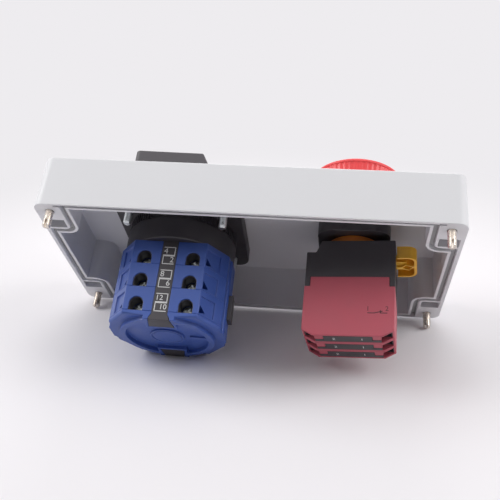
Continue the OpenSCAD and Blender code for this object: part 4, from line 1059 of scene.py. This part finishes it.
class SWITCHLID_OT_label_strips(bpy.types.Operator):
    """The two black label strips with their contact numbers, hooked over the end cap"""

    bl_idname = "switchlid.label_strips"
    bl_label = "Label strips"

    def execute(self, context):
        sizes = context.scene.switch_sizes
        bottom, top = (end.z for end in span("stage_1", SWITCH))
        pitch = top - bottom
        box_w, box_h, stroke, first = 5.4 * MM, 4.7 * MM, 0.4 * MM, 5.5 * MM
        rows = (("near", NEAR_FACE, ("4", "2", "8", "6", "12", "10")),
                ("far", FAR_FACE, ("3", "1", "7", "5", "11", "9")))
        for side, face, digits in rows:
            node = f"label_strip_{side}"
            low, high = span(node, SWITCH)
            dress(node, f"number_strip_{side}", SWITCH, black_nylon(), 0.18 * MM)
            reach = max(-low.y, high.y)
            marks = bmesh.new()
            for k in range(COUNT):
                for half, digit in enumerate(digits[2 * k:2 * k + 2]):
                    open_side = -1 if half == 0 else 1
                    up = top - k * pitch - first - half * box_h
                    centre = moved(y=up)
                    put(marks, half_box(box_w, box_h - 0.45 * MM, -open_side, stroke, sizes.ink),
                        centre)
                    # Two figures stand smaller and nearer to the middle than one
                    inset, share = (1.2 * MM, 0.9) if len(digit) > 1 else (1.7 * MM, 1.0)
                    put(marks, figures(digit, sizes.digit * share, sizes.ink),
                        centre @ moved(open_side * inset))
            place = SWITCH @ face @ moved(z=reach - SINK)
            piece(marks, f"contact_numbers_{side}", place, white_ink(), like=node)
        return {"FINISHED"}


# The stop button


class SWITCHLID_OT_stop_head(bpy.types.Operator):
    """The red mushroom head with its ribbed side and turning arrows"""

    bl_idname = "switchlid.stop_head"
    bl_label = "Stop head"

    def execute(self, context):
        sizes = context.scene.stop_sizes
        low, high = span("stop_head", STOP)
        r, top = high.x, high.z
        edge = top - 4.6 * MM
        under = edge - 7.0 * MM
        bore_top = low.z + 10.3 * MM
        neck, bore = 12.0 * MM, 6.56 * MM
        profile = [
            (bore, low.z), (neck - 0.4 * MM, low.z), (neck, low.z + 0.4 * MM),
            (neck, under - 0.5 * MM), (neck + 0.5 * MM, under),
            (r - 2.1 * MM, under), (r - 1.6 * MM, under + 0.5 * MM),
            (r - 0.9 * MM, edge - 3.2 * MM), (r - 0.35 * MM, edge - 1.4 * MM),
            (r - 0.3 * MM, edge - 1.2 * MM), (r, edge - 0.9 * MM), (r, edge - 0.2 * MM),
            (r - 0.25 * MM, edge + 0.45 * MM), (r - 0.9 * MM, edge + 0.95 * MM),
            (r * 0.85, edge + 1.9 * MM), (r * 0.7, edge + 2.9 * MM), (r * 0.5, edge + 3.8 * MM),
            (r * 0.3, edge + 4.35 * MM), (r * 0.12, edge + 4.58 * MM), (0, top),
            (0, bore_top), (bore, bore_top)]
        count = sizes.head_ribs
        head = lathe(profile, steps=count * 4, closed=True)
        side_low, side_high = under + 0.2 * MM, edge - 1.25 * MM
        for v in head.verts:
            spread = Vector((v.co.x, v.co.y)).length
            if side_low < v.co.z < side_high and spread > neck + MM:
                turn = Vector((v.co.x, v.co.y)).angle_signed(Vector((1, 0)), 0.0)
                dip = sizes.rib_depth * (0.5 - 0.5 * cos(turn * count))
                v.co.x *= 1 - dip / spread
                v.co.y *= 1 - dip / spread
        skin = BVHTree.FromBMesh(head)
        piece(head, "mushroom_head", STOP, red_abs(), ["stop_head"])
        arrows = copies(turning_arrow(r * 0.6, 2.4 * MM, radians(62)), even_turns(3))
        # They lie on the dome
        for v in arrows.verts:
            above = Vector((v.co.x, v.co.y, top + PAST))
            v.co.z += skin.ray_cast(above, Vector((0, 0, -1)))[0].z
        piece(arrows, "head_arrows", STOP, white_ink(), like="stop_head")
        return {"FINISHED"}


def turning_arrow(radius, width, sweep):
    """A curved arrow that shows the way to turn, lying in XY round the origin."""
    steps = 24
    outer = [(radius + width / 2) * Vector((cos(a), sin(a)))
             for a in (sweep * i / steps for i in range(steps + 1))]
    inner = [(radius - width / 2) * Vector((cos(a), sin(a)))
             for a in (sweep * i / steps for i in range(steps, -1, -1))]
    point = -3 * sweep / steps
    tip = [(radius - width * 1.2, 0), radius * Vector((cos(point), sin(point))),
           (radius + width * 1.2, 0)]
    arrow = prism([tuple(p) for p in outer + inner + tip], -0.1 * MM, 0.08 * MM)
    bmesh.ops.triangulate(arrow, faces=arrow.faces, ngon_method="BEAUTY")
    return arrow


class SWITCHLID_OT_stop_front(bpy.types.Operator):
    """The ring under the head with its threaded barrel, the seal, the stem and its spring"""

    bl_idname = "switchlid.stop_front"
    bl_label = "Stop ring and stem"

    def execute(self, context):
        high = span("stop_body", STOP)[1]
        dress("stop_body", "stop_barrel", STOP, black_nylon(), 0.3 * MM)
        ring_r, ring_low = high.x, high.z - 4.8 * MM
        grips = ribs(even_turns(48), ring_r - 0.6 * MM, ring_r - 0.02 * MM, 0.8 * MM,
                     ring_low + 0.5 * MM, high.z - 1.0 * MM)
        piece(grips, "stop_ring_grips", STOP, black_nylon(), like="stop_body")
        dress("stop_seal", "stop_gasket", STOP, foam_rubber(), FINE)
        dress("stop_stem", "stop_plunger_stem", STOP, black_nylon(), 0.2 * MM)
        low, high = span("stop_spring", STOP)
        piece(coil(high.x, 0.4 * MM, low.z, high.z, 3), "stop_coil", STOP, spring_steel(),
              ["stop_spring"])
        carry(black_nylon(), "spring_seat")
        return {"FINISHED"}


class SWITCHLID_OT_fixing_collar(bpy.types.Operator):
    """The black collar that clamps the stop to the lid"""

    bl_idname = "switchlid.fixing_collar"
    bl_label = "Fixing collar"

    def execute(self, context):
        dress("fixing_collar", "clamp_collar", STOP, black_nylon(), 0.9 * MM, 3)
        return {"FINISHED"}


class SWITCHLID_OT_lock_lever(bpy.types.Operator):
    """The yellow locking ring with its hollow, ribbed lever"""

    bl_idname = "switchlid.lock_lever"
    bl_label = "Locking lever"

    def execute(self, context):
        sizes = context.scene.stop_sizes
        low, high = span("lock_lever", STOP)
        ring_r, bore_r = 13.5 * MM, 11.2 * MM
        ring_low = low.z + sizes.ring_rise
        # The lever stops just short of the ring, so that their skins don't lie in one
        clear_r = ring_r + 0.12 * MM
        clear = lathe([(0, low.z - PAST), (clear_r, low.z - PAST), (clear_r, high.z + PAST),
                       (0, high.z + PAST)], 96)
        lever = carve(softened("lock_lever", STOP), clear)
        piece(lever, "locking_lever", STOP, yellow_acetal(), ["lock_lever"], edge=0.22 * MM)
        # The ring wears the yellow painted deeper and more orange: painted shade
        ring = lathe([(bore_r, ring_low), (ring_r, ring_low), (ring_r, high.z), (bore_r, high.z)],
                     96, closed=True)
        piece(ring, "locking_ring", STOP, amber_acetal(), like="lock_lever", edge=0.2 * MM)
        return {"FINISHED"}


class SWITCHLID_OT_block_carrier(bpy.types.Operator):
    """The black carrier that snaps on the stop and holds the contact blocks"""

    bl_idname = "switchlid.block_carrier"
    bl_label = "Block carrier"

    def execute(self, context):
        sizes = context.scene.stop_sizes
        dress("block_carrier", "carrier", STOP, black_nylon(), sizes.edge, 3)
        return {"FINISHED"}


class SWITCHLID_OT_contact_blocks(bpy.types.Operator):
    """The three pink contact blocks with their inserts, strips, screws and springs"""

    bl_idname = "switchlid.contact_blocks"
    bl_label = "Contact blocks"

    def execute(self, context):
        sizes = context.scene.stop_sizes
        ink = context.scene.switch_sizes.ink
        for k in range(1, COUNT + 1):
            insert = f"block_insert_{k}"
            dress(f"block_{k}", f"contact_block_{k}", STOP, pink_polyester(), sizes.edge)
            dress(insert, f"terminal_insert_{k}", STOP, black_nylon(), FINE)
            low, high = span(insert, STOP)
            marks = bmesh.new()
            for digit, x in (("2", -6.6 * MM), ("1", 6.6 * MM)):
                put(marks, figures(digit, 2.2 * MM, ink), moved(x))
            end = STOP @ moved(0, (low.y + high.y) / 2, low.z + SINK) @ turned(pi, "X")
            piece(marks, f"insert_numbers_{k}", end, white_ink(), like=insert)
            carry(natural_acetal(), f"block_plunger_{k}")
            carry(stamped_brass(), f"block_bridge_{k}", f"block_terminals_{k}")
        low = span("block_1", STOP)[0]
        face = STOP @ moved(13.6 * MM, low.y + SINK, low.z + 11.5 * MM) @ NEAR_FACE
        piece(contact_symbol(ink), "contact_symbol", face, dark_ink(), like="block_1")
        # Painted shade: black liners darken the wire openings
        self.shade_liners()
        self.fasteners()
        return {"FINISHED"}

    def shade_liners(self):
        """Black walls and a roof inside each wire opening, in the inserts' black nylon: painted
        shade that keeps the openings dark.
        """
        low, high = span("block_insert_1", STOP)
        screw = span("block_screws", STOP)[1].x - BLOCK_SCREW_R
        half_x, half_y, wall = 2.49 * MM, (high.y - low.y) / 2 + 0.08 * MM, 0.45 * MM
        foot, mouth, web = low.z + 3.1 * MM, high.z + 0.4 * MM, high.z - 0.2 * MM
        shade_tubes = bmesh.new()
        for k in range(COUNT):
            for sx in SIDES:
                shade_tube = carve(
                    box_mesh((-half_x, -half_y, foot), (half_x, half_y, mouth)),
                    box_mesh((wall - half_x, wall - half_y, low.z),
                             (half_x - wall, half_y - wall, web)))
                put(shade_tubes, shade_tube, moved(sx * screw, (k - 1) * self.step()))
        piece(shade_tubes, "opening_liners", STOP, black_nylon(), like="block_insert_1")

    def step(self):
        """Distance between two blocks."""
        first, last = span("block_1", STOP)[0].y, span(f"block_{COUNT}", STOP)[0].y
        return (last - first) / (COUNT - 1)

    def fasteners(self):
        """Terminal screws and springs of the blocks."""
        low, high = span("block_screws", STOP)
        head_r, head_t, shank_r, shank_l = BLOCK_SCREW_R, 2.2 * MM, 1.4 * MM, 2.0 * MM
        seat_z = low.z + head_t
        x = high.x - head_r
        step = (high.y - low.y - 2 * head_r) / (COUNT - 1)
        places = [moved(sx * x, (k - 1) * step, seat_z) @ turned(pi, "X")
                  for k in range(COUNT) for sx in SIDES]
        screws = copies(crossed_screw(head_r, head_t, shank_r, shank_l), places)
        piece(screws, "block_screw_set", STOP, zinc_plate(), ["block_screws"])
        low, high = span("block_springs", STOP)
        spring = coil(2.5 * MM, 0.25 * MM, low.z, high.z, 4)
        springs = copies(spring, [(0, (k - 1) * step, 0) for k in range(COUNT)])
        piece(springs, "block_coils", STOP, spring_steel(), ["block_springs"])


def contact_symbol(ink):
    """The usual sign of a contact that is closed at rest, with its two numbers."""
    half, gap, stroke = 4.4 * MM, 1.4 * MM, 0.45 * MM
    bm = lines((((-half, 0), (-gap, 0)), ((gap, 0), (half, 0)), ((gap, 0), (gap, 1.2 * MM)),
                ((-gap, 0), (2.2 * MM, 0.9 * MM))), stroke, ink)
    for digit, x in (("1", -half), ("2", half)):
        put(bm, figures(digit, 2.4 * MM, ink), moved(x, 2.1 * MM))
    return bm


# Stage

# Each lamp's place, the point it is aimed at and its size, in metres
LAMPS = (
    ("top_light", (-0.2, 0.4, 1.6), (-0.2, 0.4, 0), 3.0),
    ("left_light", (-1.2, 0, 0.8), (0, 0, 0), 0.9),
    ("right_light", (1.2, 0, 0.8), (0, 0, 0), 0.9),
    ("back_light", (0, 1.3, 0.45), (0, 0, 0), 0.9),
)


class SWITCHLID_OT_stage(bpy.types.Operator):
    """The pale floor, the soft lights and the camera"""

    bl_idname = "switchlid.stage"
    bl_label = "Stage"

    def execute(self, context):
        settings = context.scene.stage_settings
        self.floor()
        self.lights(settings)
        self.camera(settings)
        context.scene.view_settings.view_transform = "Standard"
        return {"FINISHED"}

    def floor(self):
        """A plain floor that reaches past every view."""
        bm = bmesh.new()
        bmesh.ops.create_grid(bm, x_segments=1, y_segments=1, size=FLOOR_HALF)
        floor = mesh_object("floor", bm)
        floor.data.materials.append(matt_paper())

    def lights(self, settings):
        """Soft lamps on all sides, and a room that is pale to the camera but gives little light."""
        world = bpy.data.worlds.new("room")
        world.use_nodes = True
        tree = world.node_tree
        tree.nodes.clear()
        tone = finishes().floor
        room = add(tree, "ShaderNodeBackground", {"Color": tone, "Strength": settings.room_light})
        seen = add(tree, "ShaderNodeBackground", {"Color": tone, "Strength": BACKDROP_STRENGTH})
        mix = add(tree, "ShaderNodeMixShader", {
            0: seen_rays(tree), 1: room.outputs[0], 2: seen.outputs[0]})
        add(tree, "ShaderNodeOutputWorld", {"Surface": mix.outputs[0]})
        bpy.context.scene.world = world
        for name, at, aim, size in LAMPS:
            light = bpy.data.lights.new(name, "AREA")
            light.shape = "SQUARE"
            light.size = size
            light.energy = getattr(settings, name)
            new_object(name, light).matrix_world = looking(at, aim)

    def camera(self, settings):
        """The camera at the viewing angle of the picture that was worked from."""
        data = bpy.data.cameras.new("camera")
        data.lens = settings.lens
        data.sensor_width = 36
        data.clip_start = 0.01
        camera = new_object("camera", data)
        view = looking(settings.camera_at, settings.camera_aim)
        camera.matrix_world = view @ turned(settings.camera_roll)
        bpy.context.scene.camera = camera


def looking(at, aim):
    """The matrix of a lamp or camera at a point, turned to look at another."""
    at, aim = Vector(at), Vector(aim)
    return Matrix.Translation(at) @ (aim - at).to_track_quat("-Z", "Y").to_matrix().to_4x4()


OPERATORS = (
    SWITCHLID_OT_lid, SWITCHLID_OT_lid_screws, SWITCHLID_OT_front_plate, SWITCHLID_OT_panel_bolts,
    SWITCHLID_OT_knob, SWITCHLID_OT_latch_housing, SWITCHLID_OT_latch, SWITCHLID_OT_stages,
    SWITCHLID_OT_stage_contacts, SWITCHLID_OT_end_cap, SWITCHLID_OT_label_strips,
    SWITCHLID_OT_stop_head, SWITCHLID_OT_stop_front, SWITCHLID_OT_fixing_collar,
    SWITCHLID_OT_lock_lever, SWITCHLID_OT_block_carrier, SWITCHLID_OT_contact_blocks,
    SWITCHLID_OT_stage,
)
GROUPS = {
    "lid_sizes": LidSizes, "switch_sizes": SwitchSizes, "stop_sizes": StopSizes,
    "finishes": Finishes, "stage_settings": StageSettings,
}


class SWITCHLID_PT_panel(bpy.types.Panel):
    """Lists the steps that build the switch lid"""

    bl_idname = "SWITCHLID_PT_panel"
    bl_label = "Switch lid"
    bl_space_type = "VIEW_3D"
    bl_region_type = "UI"
    bl_category = "Switch lid"

    def draw(self, context):
        for operator in OPERATORS:
            self.layout.operator(operator.bl_idname)
        for name, group in GROUPS.items():
            self.layout.label(text=group.__doc__)
            for prop in group.__annotations__:
                self.layout.prop(getattr(context.scene, name), prop)


def register():
    for name, group in GROUPS.items():
        bpy.utils.register_class(group)
        setattr(bpy.types.Scene, name, PointerProperty(type=group))
    for cls in (*OPERATORS, SWITCHLID_PT_panel):
        bpy.utils.register_class(cls)


def unregister():
    for cls in (SWITCHLID_PT_panel, *reversed(OPERATORS)):
        bpy.utils.unregister_class(cls)
    for name, group in reversed(GROUPS.items()):
        delattr(bpy.types.Scene, name)
        bpy.utils.unregister_class(group)


def main():
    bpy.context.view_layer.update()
    register()
    for operator in OPERATORS:
        group, name = operator.bl_idname.split(".")
        getattr(getattr(bpy.ops, group), name)()


if __name__ == "__main__":
    main()
